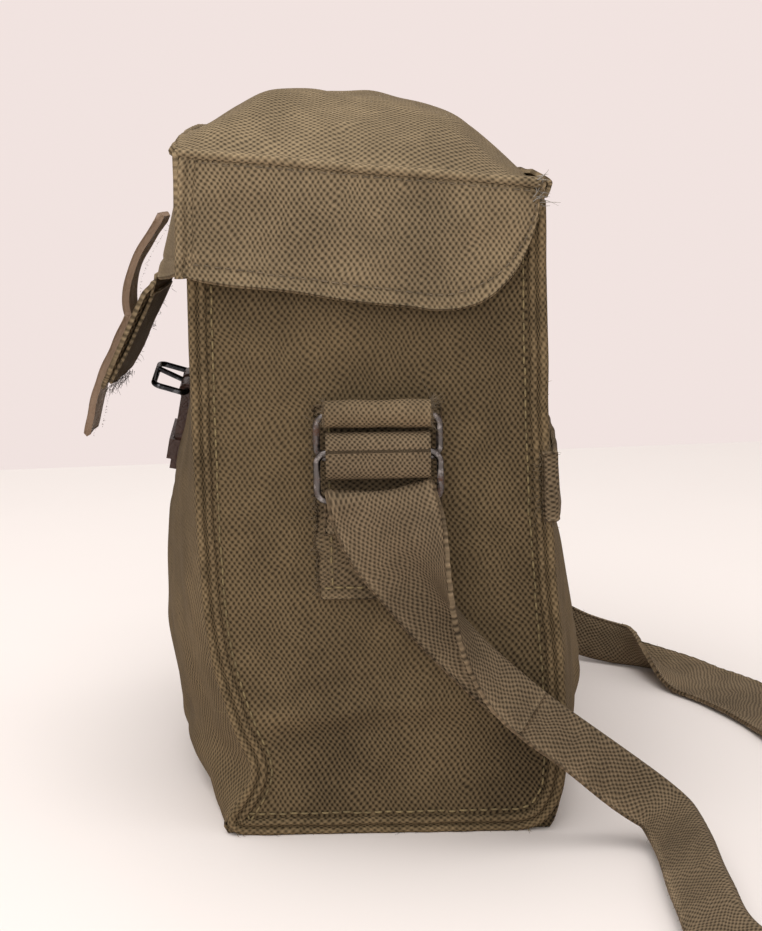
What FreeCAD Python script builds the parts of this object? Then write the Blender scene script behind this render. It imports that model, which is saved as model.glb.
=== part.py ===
import FreeCAD, Part
import math
import os

from FreeCAD import Vector

# Messenger bag: a boxy canvas shoulder satchel with a domed box lid.
# Frame: +X is the bag's right end, -Y its front, +Z up.
# Origin: the centre of the bottom, on the surface that the bag stands on.
# Lengths are in millimetres, angles in degrees.

# ---- cloth, leather and wire ----
canvas = 2.0                  # body and lid panels, with their turned edges
tab_canvas = 1.7
band_webbing = 1.8
strap_width = 38.0
strap_thickness = 2.0
leather = 2.0                 # chape leather
billet_leather = 3.0
ring_wire = 2.6
frame_wire = 2.4
prong_wire = 2.2

# ---- clearances ----
seat_gap = 0.3                # soft pieces beside each other
bar_clearance = 0.1           # a wire bar in a leather or wire loop
roll_clearance = 0.5          # a wire bar in a rolled canvas loop
lid_side_clearance = 1.3      # lid side flap outside the raised side seam
tongue_gap = 1.8              # tongue's fold line below the front flap
hinge_clearance = 2.8         # back panel top edge below the lid's fold line

# ---- body ----
body_length = 227.0           # over the side panels
body_top_front = 248.5
body_top_rear = 236.5
welt_height = 2.2             # raised side seam, out of the side panel
welt_width = 5.0

# rows up the front and back panels: height, y where the panel meets the side
# panel, y at the middle of the bag
front_rows = [
    (2.0, -63.0, -76.0),
    (14.0, -57.0, -88.0),
    (24.0, -52.5, -92.5),
    (40.0, -58.0, -95.0),
    (70.0, -66.0, -95.0),
    (110.0, -69.0, -90.0),
    (150.0, -69.5, -80.0),
    (190.0, -69.5, -73.0),
    (246.5, -69.0, -71.0),
]
back_rows = [
    (2.0, 60.0, 68.0),
    (12.0, 63.0, 73.0),
    (60.0, 64.5, 78.0),
    (90.0, 62.0, 76.0),
    (120.0, 60.0, 73.5),
    (144.0, 59.0, 71.0),
    (200.0, 58.0, 64.0),
]

# ---- back band ----
band_bottom = 120.0
band_top = 144.0

# ---- lid ----
hinge_y = 60.5
hinge_z = 242.0
lid_front_y = -73.0
lid_rear_gap = 1.0            # lid top's rear edge in front of the fold line
flap_top = 255.0              # lid edge height at the front corners
flap_drop_front = 44.0        # side flap depth at its front
flap_bottom_rear = 198.0
flap_corner_mid = (50.0, 212.5)
flap_corner_end = 19.0        # y where the rounded rear corner ends
dome_rise = [0.0, 23.0, 30.0, 30.5, 22.0, 0.0]   # over the lid edge, front to rear
dome_front_rise = 9.0
flap_bow = [0.0, -6.0, -12.0, -17.0]             # front flap's bulge, top to bottom
flap_dip = 7.0                # front flap's lower edge, deeper in the middle
lid_welt_width = 5.5
lid_welt_height = 1.8

# ---- closing tongue and billet ----
tongue_width = 72.0
tongue_length = 48.0
tongue_start = -0.5            # the tongue's top edge, just above its fold line
tongue_angle = 27.0           # outwards from hanging straight down
backing_width = 64.0
backing_length = 44.0
backing_thickness = 1.6
billet_width = 24.0
billet_start = 20.0           # along the tongue, where the billet lies on it
billet_end_run = [(4.5, 13.0), (3.5, 16.0)]      # outwards and down, past the tongue
bow_path = [(-88.9, 226.0), (-98.5, 212.0), (-103.6, 200.0), (-103.6, 187.6)]

# ---- buckle ----
bar_point = (0.0, -82.9, 158.0)
buckle_slope = 12.0           # chape follows the panel, foot outwards
buckle_roll = 12.0            # whole buckle sewn on askew
frame_lift = 6.0              # frame above the chape's normal
frame_outer_width = 30.0
frame_outer_length = 16.5
frame_corner = 3.0
chape_width = 21.0
chape_length = 36.0
prong_slot = 3.6
prong_tip = 0.5               # prong's tip past the middle of the frame's far bar
slot_foot = 3.0               # slot below the bar, for the prong when it hangs
keeper_width = 9.0
keeper_drop = 22.0
keeper_thickness = 1.6

# ---- side tabs and rings ----
tab_y = -2.8
tab_width = 45.6
tab_bottom = 91.5
tab_top = 163.0
roll_radius = 5.5
roll_length = 36.0
upper_bar_z = 160.5
ring_width = 47.0
upper_ring_height = 18.0
lower_ring_height = 20.0
ring_corner = 4.0
link_length = 36.0
link_height = 17.0
link_depth = 11.2
lower_bar_out = 3.4           # lower ring's top bar, out of the upper ring's plane
lower_bar_up = 2.4
link_offset = (1.7, 1.0)      # link's centre from the upper ring's lower bar

# ---- shoulder strap ----
# Route of the strap's middle line: x, y, z, width there, width direction.
# The strap is folded in half along its length where the width is half.
strap_route = [
    (121.7, -3.5, 117.0, 38.0, (0, 1, 0)),
    (121.7, -2.8, 133.6, 38.0, (0, 1, 0)),
    (127.1, -2.8, 133.6, 38.0, (0, 1, 0)),
    (127.5, 2.0, 120.0, 38.0, (0, 1, 0.3)),
    (128.0, 10.0, 103.5, 38.0, (0, 1, 0.5)),
    (128.0, 19.5, 86.0, 36.0, (0, 1, 0.6)),
    (128.0, 33.0, 68.0, 31.0, (0, 1, 0.8)),
    (128.0, 51.0, 50.5, 24.0, (0, 1, 1)),
    (128.0, 71.0, 35.5, 20.0, (0, 1, 1)),
    (127.5, 89.0, 21.5, 19.0, (0, 1, 1)),
    (131.0, 101.5, 12.5, 19.0, (-0.3, 0.6, 0.8)),
    (146.0, 104.5, 9.6, 19.0, (0, 0.63, 0.78)),
    (170.0, 104.0, 9.3, 19.0, (0, 0.63, 0.78)),
    (204.0, 103.0, 9.3, 19.0, (0, 0.63, 0.78)),
    (236.0, 103.5, 9.3, 19.0, (0, 0.63, 0.78)),
    (260.0, 113.0, 9.6, 19.0, (-0.4, 0.6, 0.78)),
    (269.0, 134.0, 9.8, 19.0, (-0.6, 0.1, 0.78)),
    (258.0, 156.0, 10.2, 21.0, (-0.4, -0.5, 0.78)),
    (230.0, 168.0, 10.4, 25.0, (0, -0.7, 0.6)),
    (190.0, 174.0, 6.0, 32.0, (0, -0.95, 0.25)),
    (145.0, 178.0, 1.6, 38.0, (0, -1, 0)),
    (100.0, 182.0, 1.2, 38.0, (0, -1, 0)),
    (55.0, 184.0, 1.2, 38.0, (0, -1, 0)),
    (11.0, 180.0, 1.2, 38.0, (0, -1, 0)),
    (-29.0, 167.0, 1.2, 38.0, (0, -1, 0)),
    (-62.0, 149.5, 1.7, 38.0, (0, -1, 0)),
    (-89.0, 132.0, 5.4, 32.0, (0.5, -0.9, -0.15)),
    (-108.0, 111.0, 8.4, 22.0, (0.5, -0.6, -0.5)),
    (-120.0, 91.0, 12.5, 19.0, (0.3, -0.7, -0.8)),
    (-126.5, 72.0, 25.0, 19.0, (0, -1, -0.8)),
    (-128.0, 52.0, 43.0, 24.0, (0, -1, -0.8)),
    (-128.0, 34.0, 62.0, 31.0, (0, -1, -0.7)),
    (-128.0, 20.0, 84.0, 36.0, (0, -1, -0.6)),
    (-128.0, 8.5, 103.5, 38.0, (0, -1, -0.4)),
    (-127.5, 1.0, 120.0, 38.0, (0, -1, -0.2)),
    (-127.1, -2.8, 133.6, 38.0, (0, -1, 0)),
    (-121.7, -2.8, 133.6, 38.0, (0, -1, 0)),
    (-121.7, -3.5, 117.0, 38.0, (0, -1, 0)),
]
strap_cuts = (7, 30)          # route points where the strap's ends meet its free length
arc_steps = 6                 # even, so that a corner has a middle section
corner_share = 0.45

# ---- worked out from the above ----
side_inner_x = body_length / 2 - canvas
side_outer_x = body_length / 2
flap_inner_x = side_outer_x + welt_height + lid_side_clearance
flap_outer_x = flap_inner_x + canvas
upper_bar_x = side_outer_x + tab_canvas + seat_gap + roll_radius
upper_drop = upper_ring_height - ring_wire
lower_drop = lower_ring_height - ring_wire
lid_edge_slope = (hinge_z - flap_top) / (hinge_y - lid_rear_gap - lid_front_y)


def export(shape, name):
    """Write one node, and stop if its solids are not whole."""
    if not shape.isValid() or not shape.Solids:
        raise ValueError(name + " is not a whole solid")
    shape.exportStep("parts/" + name + ".step")


def spline(points):
    curve = Part.BSplineCurve()
    curve.interpolate(points)
    return curve.toShape()


def box(low, high):
    size = [b - a for a, b in zip(low, high)]
    return Part.makeBox(size[0], size[1], size[2], Vector(*low))


def closed_wire(outer, inner):
    """A thin closed section between an outer and an inner run of points."""
    edges = [
        spline(outer),
        Part.LineSegment(outer[-1], inner[-1]).toShape(),
        spline(list(reversed(inner))),
        Part.LineSegment(inner[0], outer[0]).toShape(),
    ]
    return Part.Wire(edges)


def fullness(x, half_length, power):
    """1 at the middle of the bag, 0 at its ends."""
    return 1.0 - (abs(x) / half_length) ** power


def sheet(stations, outer_points, shift):
    """A curved sheet lofted over stations along X; shift gives its thickness."""
    sections = []
    for x in stations:
        outer = outer_points(x)
        inner = [point + shift for point in outer]
        sections.append(closed_wire(outer, inner))
    return Part.makeLoft(sections, True, False)


def stations(half_length, inner):
    return [-half_length] + [-x for x in inner] + [0.0] + list(reversed(inner)) + [half_length]


def panel(rows, shift):
    """Front or back panel: straight at the side seams, bulging in the middle."""
    def outer(x):
        share = fullness(x, side_inner_x, 2)
        return [Vector(x, edge + (middle - edge) * share, z) for z, edge, middle in rows]
    return sheet(stations(side_inner_x, [60.0]), outer, Vector(0, shift, 0))


def rows_up_to(rows, top):
    """The rows, with one more at the top edge, carried straight on."""
    (z0, edge0, middle0), (z1, edge1, middle1) = rows[-2:]
    share = (top - z0) / (z1 - z0)
    last = (top, edge0 + (edge1 - edge0) * share, middle0 + (middle1 - middle0) * share)
    return rows + [last]


def bottom_panel():
    first_front = front_rows[0]
    first_back = back_rows[0]
    front = Part.Arc(
        Vector(-side_inner_x, first_front[1], 0),
        Vector(0, first_front[2], 0),
        Vector(side_inner_x, first_front[1], 0),
    ).toShape()
    back = Part.Arc(
        Vector(side_inner_x, first_back[1], 0),
        Vector(0, first_back[2], 0),
        Vector(-side_inner_x, first_back[1], 0),
    ).toShape()
    right = Part.LineSegment(front.Vertexes[-1].Point, back.Vertexes[0].Point).toShape()
    left = Part.LineSegment(back.Vertexes[-1].Point, front.Vertexes[0].Point).toShape()
    outline = Part.Wire([front, right, back, left])
    return Part.Face(outline).extrude(Vector(0, 0, front_rows[0][0]))


def side_face(x, inset):
    """The end panel's outline at x, drawn in by inset on all but its top."""
    front = [Vector(x, edge + inset, z) for z, edge, middle in front_rows[:-1]]
    rear = [Vector(x, edge - inset, z) for z, edge, middle in back_rows]
    front[0] = Vector(x, front[0].y, inset)
    rear[0] = Vector(x, rear[0].y, inset)
    rise = inset * 2
    front.append(Vector(x, front_rows[-1][1] + inset, body_top_front + rise))
    rear.append(Vector(x, rear[-1].y, body_top_rear + rise))
    edges = [
        spline(front),
        Part.LineSegment(front[-1], rear[-1]).toShape(),
        spline(list(reversed(rear))),
        Part.LineSegment(rear[0], front[0]).toShape(),
    ]
    return Part.Face(Part.Wire(edges))


def side_panel():
    return side_face(side_inner_x, 0.0).extrude(Vector(canvas, 0, 0))


def side_welt():
    outer = side_face(side_outer_x, 0.0).extrude(Vector(welt_height, 0, 0))
    inner = side_face(side_outer_x - 1, welt_width).extrude(Vector(welt_height + 2, 0, 0))
    return outer.cut(inner)


def back_band():
    def outer(x):
        share = fullness(x, side_inner_x, 2)
        points = []
        for z, edge, middle in back_rows:
            if band_bottom <= z <= band_top:
                y = edge + (middle - edge) * share + seat_gap + band_webbing
                points.append(Vector(x, y, z))
        return points
    return sheet(stations(side_inner_x, [60.0]), outer, Vector(0, -band_webbing, 0))


def lid_edge_z(y):
    return flap_top + (y - lid_front_y) * lid_edge_slope


def lid_top():
    rear_y = hinge_y - lid_rear_gap
    count = len(dome_rise) - 1

    def outer(x):
        share = fullness(x, flap_inner_x, 4)
        points = []
        for i, rise in enumerate(dome_rise):
            y = lid_front_y + (rear_y - lid_front_y) * i / count
            lift = dome_front_rise if i == 0 else rise
            points.append(Vector(x, y, lid_edge_z(y) + lift * share))
        return points
    return sheet(stations(flap_inner_x, [97.0, 55.0]), outer, Vector(0, 0, -canvas))


def lid_front_flap():
    count = len(flap_bow) - 1
    front = lid_front_y - seat_gap - canvas
    bottom = flap_top - flap_drop_front

    def outer(x):
        share = fullness(x, flap_outer_x, 2)
        points = []
        for i, bow in enumerate(flap_bow):
            down = i / count
            top = flap_top + dome_front_rise * share
            low = bottom - flap_dip * share
            points.append(Vector(x, front + bow * share, top + (low - top) * down))
        return points
    return sheet(stations(flap_outer_x, [60.0]), outer, Vector(0, canvas, 0))


def lid_side_flap():
    x = flap_inner_x
    rear_y = hinge_y - lid_rear_gap
    front_low = Vector(x, lid_front_y, flap_top - flap_drop_front)
    front_high = Vector(x, lid_front_y, flap_top)
    rear_high = Vector(x, rear_y, lid_edge_z(rear_y))
    corner_mid = Vector(x, flap_corner_mid[0], flap_corner_mid[1])
    corner_end = Vector(x, flap_corner_end, flap_bottom_rear)
    edges = [
        Part.LineSegment(front_low, front_high).toShape(),
        Part.LineSegment(front_high, rear_high).toShape(),
        Part.Arc(rear_high, corner_mid, corner_end).toShape(),
        Part.LineSegment(corner_end, front_low).toShape(),
    ]
    return Part.Face(Part.Wire(edges)).extrude(Vector(canvas, 0, 0))


def lid_corner_welt():
    front = lid_front_y - seat_gap - canvas
    low = (flap_outer_x, front, flap_top - flap_drop_front)
    high = (flap_outer_x + lid_welt_height, front + lid_welt_width, flap_top - 1.0)
    return box(low, high)


def strip(path, thickness, width):
    """A bent flat strap across the bag, thickness each side of a path of (y, z)."""
    left = []
    right = []
    last = len(path) - 1
    for i, (y, z) in enumerate(path):
        before = path[max(i - 1, 0)]
        after = path[min(i + 1, last)]
        along = Vector(0, after[0] - before[0], after[1] - before[1]).normalize()
        across = Vector(0, -along.z, along.y) * (thickness / 2)
        centre = Vector(-width / 2, y, z)
        left.append(centre + across)
        right.append(centre - across)
    outline = Part.makePolygon(left + list(reversed(right)) + [left[0]])
    return Part.Face(outline).extrude(Vector(width, 0, 0))


def tongue_point(along, out):
    """A point of the tongue: along it from its fold, and out of its middle."""
    angle = math.radians(tongue_angle)
    y = tongue_hinge[0] - along * math.sin(angle) - out * math.cos(angle)
    z = tongue_hinge[1] - along * math.cos(angle) + out * math.sin(angle)
    return (y, z)


tongue_hinge = (
    lid_front_y - seat_gap - canvas / 2 + flap_bow[-1],
    flap_top - flap_drop_front - flap_dip - tongue_gap,
)


def closing_tongue():
    ends = [tongue_point(tongue_start, 0), tongue_point(tongue_length, 0)]
    return strip(ends, canvas, tongue_width)


def tongue_backing():
    out = -(canvas / 2 + backing_thickness / 2)
    ends = [tongue_point(canvas * 2, out), tongue_point(backing_length, out)]
    return strip(ends, backing_thickness, backing_width)


def closing_billet():
    out = canvas / 2 + seat_gap + billet_leather / 2
    path = [tongue_point(billet_start, out), tongue_point(tongue_length - 2, out)]
    for outward, down in billet_end_run:
        path.append((path[-1][0] - outward, path[-1][1] - down))
    return strip(path, billet_leather, billet_width)


def billet_bow():
    return strip(bow_path, billet_leather, billet_width)


def wire_frame(width, height, wire, corner):
    """A closed rectangular wire, its top bar on the local X axis, hanging along -Z."""
    half = (width - wire) / 2
    drop = height - wire
    r = corner
    k = r * (1 - math.sqrt(0.5))
    spots = [
        (Vector(-half + r, 0, 0), Vector(half - r, 0, 0), Vector(half - k, 0, -k)),
        (Vector(half, 0, -r), Vector(half, 0, -drop + r), Vector(half - k, 0, -drop + k)),
        (Vector(half - r, 0, -drop), Vector(-half + r, 0, -drop), Vector(-half + k, 0, -drop + k)),
        (Vector(-half, 0, -drop + r), Vector(-half, 0, -r), Vector(-half + k, 0, -k)),
    ]
    edges = []
    for i, (start, end, middle) in enumerate(spots):
        following = spots[(i + 1) % len(spots)][0]
        edges.append(Part.LineSegment(start, end).toShape())
        edges.append(Part.Arc(end, middle, following).toShape())
    path = Part.Wire(edges)
    circle = Part.Wire([Part.Circle(spots[0][0], Vector(1, 0, 0), wire / 2).toShape()])
    return path.makePipeShell([circle], True, False)


def place_buckle(shape, lift):
    """Turn a piece drawn round the buckle bar into its place on the front panel."""
    placed = shape.copy()
    placed.rotate(Vector(0, 0, 0), Vector(1, 0, 0), lift)
    placed.rotate(Vector(0, 0, 0), Vector(1, 0, 0), -buckle_slope)
    placed.rotate(Vector(0, 0, 0), Vector(0, 1, 0), buckle_roll)
    placed.translate(Vector(*bar_point))
    return placed


def buckle_chape():
    eye = frame_wire / 2 + bar_clearance
    loop = Part.makeCylinder(eye + leather, chape_width, Vector(-chape_width / 2, 0, 0), Vector(1, 0, 0))
    slab = box((-chape_width / 2, -leather, -chape_length), (chape_width / 2, leather, 0))
    hole = Part.makeCylinder(eye, chape_width + 2, Vector(-chape_width / 2 - 1, 0, 0), Vector(1, 0, 0))
    reach = eye + leather + 1
    slot = box((-prong_slot / 2, -reach, -reach - slot_foot), (prong_slot / 2, reach, reach))
    return place_buckle(loop.fuse(slab).removeSplitter().cut(hole).cut(slot), 0)


def chape_keeper():
    inner_x = chape_width / 2 + seat_gap
    inner_y = leather + seat_gap
    low_z = -keeper_drop - keeper_width
    outer = box(
        (-inner_x - keeper_thickness, -inner_y - keeper_thickness, low_z),
        (inner_x + keeper_thickness, leather, -keeper_drop),
    )
    hole = box((-inner_x, -inner_y, low_z - 1), (inner_x, leather + 1, -keeper_drop + 1))
    return place_buckle(outer.cut(hole), 0)


def buckle_frame():
    shape = wire_frame(frame_outer_width, frame_outer_length, frame_wire, frame_corner)
    return place_buckle(shape, -90.0 - frame_lift)


def buckle_prong():
    eye = frame_wire / 2 + bar_clearance
    width = prong_slot - 2 * seat_gap
    sleeve = Part.makeCylinder(eye + 1.0, width, Vector(-width / 2, 0, 0), Vector(1, 0, 0))
    hole = Part.makeCylinder(eye, width + 2, Vector(-width / 2 - 1, 0, 0), Vector(1, 0, 0))
    reach = frame_outer_length - frame_wire + prong_tip
    rest = (frame_wire + prong_wire) / 2 + bar_clearance
    tilt = math.degrees(math.atan2(rest, reach - prong_tip))
    pin = Part.makeCylinder(prong_wire / 2, reach, Vector(0, 0, 0), Vector(0, 0, -1))
    pin.rotate(Vector(0, 0, 0), Vector(1, 0, 0), -tilt)
    return place_buckle(sleeve.fuse(pin).removeSplitter().cut(hole), -90.0 - frame_lift)


def strap_tab():
    low = (side_outer_x, tab_y - tab_width / 2, tab_bottom)
    high = (side_outer_x + tab_canvas, tab_y + tab_width / 2, tab_top)
    return box(low, high)


def ring_loop():
    start = Vector(upper_bar_x, tab_y - roll_length / 2, upper_bar_z)
    roll = Part.makeCylinder(roll_radius, roll_length, start, Vector(0, 1, 0))
    hole = Part.makeCylinder(
        ring_wire / 2 + roll_clearance, roll_length + 2, start - Vector(0, 1, 0), Vector(0, 1, 0)
    )
    return roll.cut(hole)


def ring(height, bar_x, bar_z):
    """A ring hanging from its top bar, which runs front to back."""
    shape = wire_frame(ring_width, height, ring_wire, ring_corner)
    shape.rotate(Vector(0, 0, 0), Vector(0, 0, 1), 90)
    shape.translate(Vector(bar_x, tab_y, bar_z))
    return shape


def racetrack(height, depth):
    """A filled loop section, round at its top and bottom, in the XZ plane."""
    r = depth / 2
    top = height / 2 - r
    edges = [
        Part.Arc(Vector(r, 0, top), Vector(0, 0, top + r), Vector(-r, 0, top)).toShape(),
        Part.LineSegment(Vector(-r, 0, top), Vector(-r, 0, -top)).toShape(),
        Part.Arc(Vector(-r, 0, -top), Vector(0, 0, -top - r), Vector(r, 0, -top)).toShape(),
        Part.LineSegment(Vector(r, 0, -top), Vector(r, 0, top)).toShape(),
    ]
    return Part.Face(Part.Wire(edges))


def link_band():
    """A closed loop of webbing that holds the two rings together."""
    outer = racetrack(link_height, link_depth).extrude(Vector(0, link_length, 0))
    inner_height = link_height - 2 * band_webbing
    inner_depth = link_depth - 2 * band_webbing
    inner = racetrack(inner_height, inner_depth).extrude(Vector(0, link_length + 2, 0))
    inner.translate(Vector(0, -1, 0))
    band = outer.cut(inner)
    centre_x = upper_bar_x + link_offset[0]
    centre_z = upper_bar_z - upper_drop + link_offset[1]
    band.translate(Vector(centre_x, tab_y - link_length / 2, centre_z))
    return band


def arc_points(before, corner, after):
    """Where a corner's tangent arc starts and ends, points along it, and its radius."""
    back = (before - corner).normalize()
    ahead = (after - corner).normalize()
    turn = math.pi - back.getAngle(ahead)
    reach = corner_share * min((before - corner).Length, (after - corner).Length)
    radius = reach / math.tan(turn / 2)
    start = corner + back * reach
    centre = corner + (back + ahead).normalize() * math.hypot(reach, radius)
    first = start - centre
    normal = first.cross(corner + ahead * reach - centre).normalize()
    points = []
    for step in range(arc_steps + 1):
        turned = FreeCAD.Rotation(normal, math.degrees(turn) * step / arc_steps)
        points.append(centre + turned.multVec(first))
    return points, radius


def strap_line(route):
    """Middle points along straight runs and arcs, where each is, and the arcs' radii."""
    corners = [Vector(x, y, z) for x, y, z, width, across in route]
    middles = [corners[0]]
    marks = [0.0]
    radii = []
    for i in range(1, len(route) - 1):
        points, radius = arc_points(corners[i - 1], corners[i], corners[i + 1])
        radii.append(round(radius, 1))
        for step, point in enumerate(points):
            middles.append(point)
            marks.append(i + (step / arc_steps - 0.5) * 2 * corner_share)
    middles.append(corners[-1])
    marks.append(len(route) - 1.0)
    return middles, marks, radii


def along_route(route, mark):
    """Width and width direction at a mark between the route's points."""
    i = min(int(mark), len(route) - 2)
    share = mark - i
    width = route[i][3] + (route[i + 1][3] - route[i][3]) * share
    across = Vector(*route[i][4]) * (1 - share) + Vector(*route[i + 1][4]) * share
    return width, across


def strap_section(middle, tangent, width, across):
    side = (across - tangent * across.dot(tangent)).normalize()
    half = side * (width / 2)
    thick = tangent.cross(side) * (strap_width * strap_thickness / width / 2)
    corners = [
        middle + half + thick,
        middle - half + thick,
        middle - half - thick,
        middle + half - thick,
    ]
    return Part.makePolygon(corners + [corners[0]])


def strap_pieces(route, cuts):
    """The strap in three lengths, each one solid that turns and folds as it goes."""
    middles, marks, radii = strap_line(route)
    last = len(middles) - 1
    sections = []
    for i, middle in enumerate(middles):
        tangent = (middles[min(i + 1, last)] - middles[max(i - 1, 0)]).normalize()
        width, across = along_route(route, marks[i])
        sections.append(strap_section(middle, tangent, width, across))
    ends = [0] + [marks.index(float(cut)) for cut in cuts] + [last]
    pieces = []
    for start, end in zip(ends, ends[1:]):
        shape = Part.makeLoft(sections[start:end + 1], True, True)
        runs = zip(middles[start:end], middles[start + 1:end + 1])
        length = sum((b - a).Length for a, b in runs)
        print("strap length", round(length, 1), "volume", round(shape.Volume), "section x length",
              round(strap_width * strap_thickness * length), "lowest", round(shape.BoundBox.ZMin, 2))
        pieces.append(shape)
    print("strap radii", radii)
    return pieces


def mirrored(shape):
    return shape.mirror(Vector(0, 0, 0), Vector(1, 0, 0))


def export_pair(shape, name):
    export(shape, name + "_right")
    export(mirrored(shape), name + "_left")


def main():
    os.makedirs("parts", exist_ok=True)
    export(panel(front_rows, canvas), "front_panel")
    export(panel(rows_up_to(back_rows, hinge_z - hinge_clearance), -canvas), "back_panel")
    export(bottom_panel(), "bottom_panel")
    export_pair(side_panel(), "side_panel")
    export_pair(side_welt(), "side_welt")
    export(back_band(), "back_band")

    export(lid_top(), "lid_top")
    export(lid_front_flap(), "lid_front_flap")
    export_pair(lid_side_flap(), "lid_side_flap")
    export_pair(lid_corner_welt(), "lid_corner_welt")

    export(closing_tongue(), "closing_tongue")
    export(tongue_backing(), "tongue_backing")
    export(closing_billet(), "closing_billet")
    export(billet_bow(), "billet_bow")

    export(buckle_chape(), "buckle_chape")
    export(chape_keeper(), "chape_keeper")
    export(buckle_frame(), "buckle_frame")
    export(buckle_prong(), "buckle_prong")

    lower_bar_x = upper_bar_x + lower_bar_out
    lower_bar_z = upper_bar_z - upper_drop + lower_bar_up
    export_pair(strap_tab(), "strap_tab")
    export_pair(ring_loop(), "ring_loop")
    export_pair(ring(upper_ring_height, upper_bar_x, upper_bar_z), "upper_ring")
    export_pair(link_band(), "link_band")
    export_pair(ring(lower_ring_height, lower_bar_x, lower_bar_z), "lower_ring")

    names = ["strap_end_right", "shoulder_strap", "strap_end_left"]
    for name, piece in zip(names, strap_pieces(strap_route, strap_cuts)):
        export(piece, name)


main()
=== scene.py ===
import math

import bpy
import numpy as np
from bpy.props import FloatProperty, FloatVectorProperty, PointerProperty
from mathutils import Matrix, Vector


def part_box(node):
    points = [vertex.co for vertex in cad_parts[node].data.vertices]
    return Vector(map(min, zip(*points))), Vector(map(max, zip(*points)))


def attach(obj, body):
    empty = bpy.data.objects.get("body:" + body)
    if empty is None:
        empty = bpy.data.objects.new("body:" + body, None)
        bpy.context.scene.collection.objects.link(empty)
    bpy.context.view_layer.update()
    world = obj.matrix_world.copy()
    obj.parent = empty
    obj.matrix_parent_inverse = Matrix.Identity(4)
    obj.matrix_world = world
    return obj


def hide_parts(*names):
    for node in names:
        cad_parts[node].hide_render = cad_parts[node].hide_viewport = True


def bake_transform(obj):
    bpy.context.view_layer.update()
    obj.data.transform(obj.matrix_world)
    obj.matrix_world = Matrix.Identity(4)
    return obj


bl_info = {
    "name": "Canvas messenger bag",
    "version": (1, 0, 0),
    "blender": (4, 5, 0),
    "location": "3D View > Sidebar > Bag",
    "description": "Builds a canvas messenger bag around its packed frame",
    "category": "Object",
}

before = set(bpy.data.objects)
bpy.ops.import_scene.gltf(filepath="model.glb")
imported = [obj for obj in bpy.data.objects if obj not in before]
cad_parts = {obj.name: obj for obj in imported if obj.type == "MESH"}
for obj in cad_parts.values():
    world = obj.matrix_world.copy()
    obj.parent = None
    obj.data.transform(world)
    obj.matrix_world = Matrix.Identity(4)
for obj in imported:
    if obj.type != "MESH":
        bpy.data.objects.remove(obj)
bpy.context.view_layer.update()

# Lengths are in millimetres in the helpers, and metres in Blender.
MM = 0.001

# ---- sizes shared with the bag's frame ----
HALF_PANEL = 111.5
SIDE_X = 113.5
WELT_WIDTH = 5.0
FRONT_ROWS = [
    (0.0, -62.0, -75.0), (2.0, -63.0, -76.0), (14.0, -57.0, -88.0), (24.0, -52.5, -89.5),
    (40.0, -58.0, -91.5), (70.0, -66.0, -93.0), (110.0, -69.0, -91.0), (150.0, -69.5, -81.0),
    (190.0, -69.5, -73.5), (248.5, -69.0, -71.0),
]
BACK_ROWS = [
    (0.0, 59.0, 67.0), (2.0, 60.0, 68.0), (12.0, 63.0, 73.0), (60.0, 64.5, 78.0),
    (90.0, 62.0, 73.0), (120.0, 60.0, 67.0), (144.0, 59.0, 64.5), (200.0, 58.0, 61.5),
    (240.0, 57.5, 60.0),
]
BODY_TOP_FRONT = 247.0
BODY_TOP_REAR = 236.5
HINGE = (60.5, 242.0)
LID_FRONT = -71.2
LID_REAR = 56.5
FLAP_TOP = 255.0
FLAP_LOW = 211.0
FLAP_X = 118.0
FLAP_CORNER = ((17.0, 198.0), (48.0, 212.5), (56.5, 242.1))
DOME_Y = [-71.2, -45.7, -20.1, 5.4, 31.0, 56.5]
DOME_RISE = [9.0, 22.5, 27.5, 27.5, 21.0, 0.0]
TONGUE_FOLD = (-91.3, 202.2)
TONGUE_ANGLE = 27.0
TONGUE_SIZE = (72.0, 48.0)
BOW_PATH = [(-88.9, 226.0), (-98.5, 212.0), (-103.6, 200.0), (-103.6, 187.6)]
STRAP_WIDTH = 38.0

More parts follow.
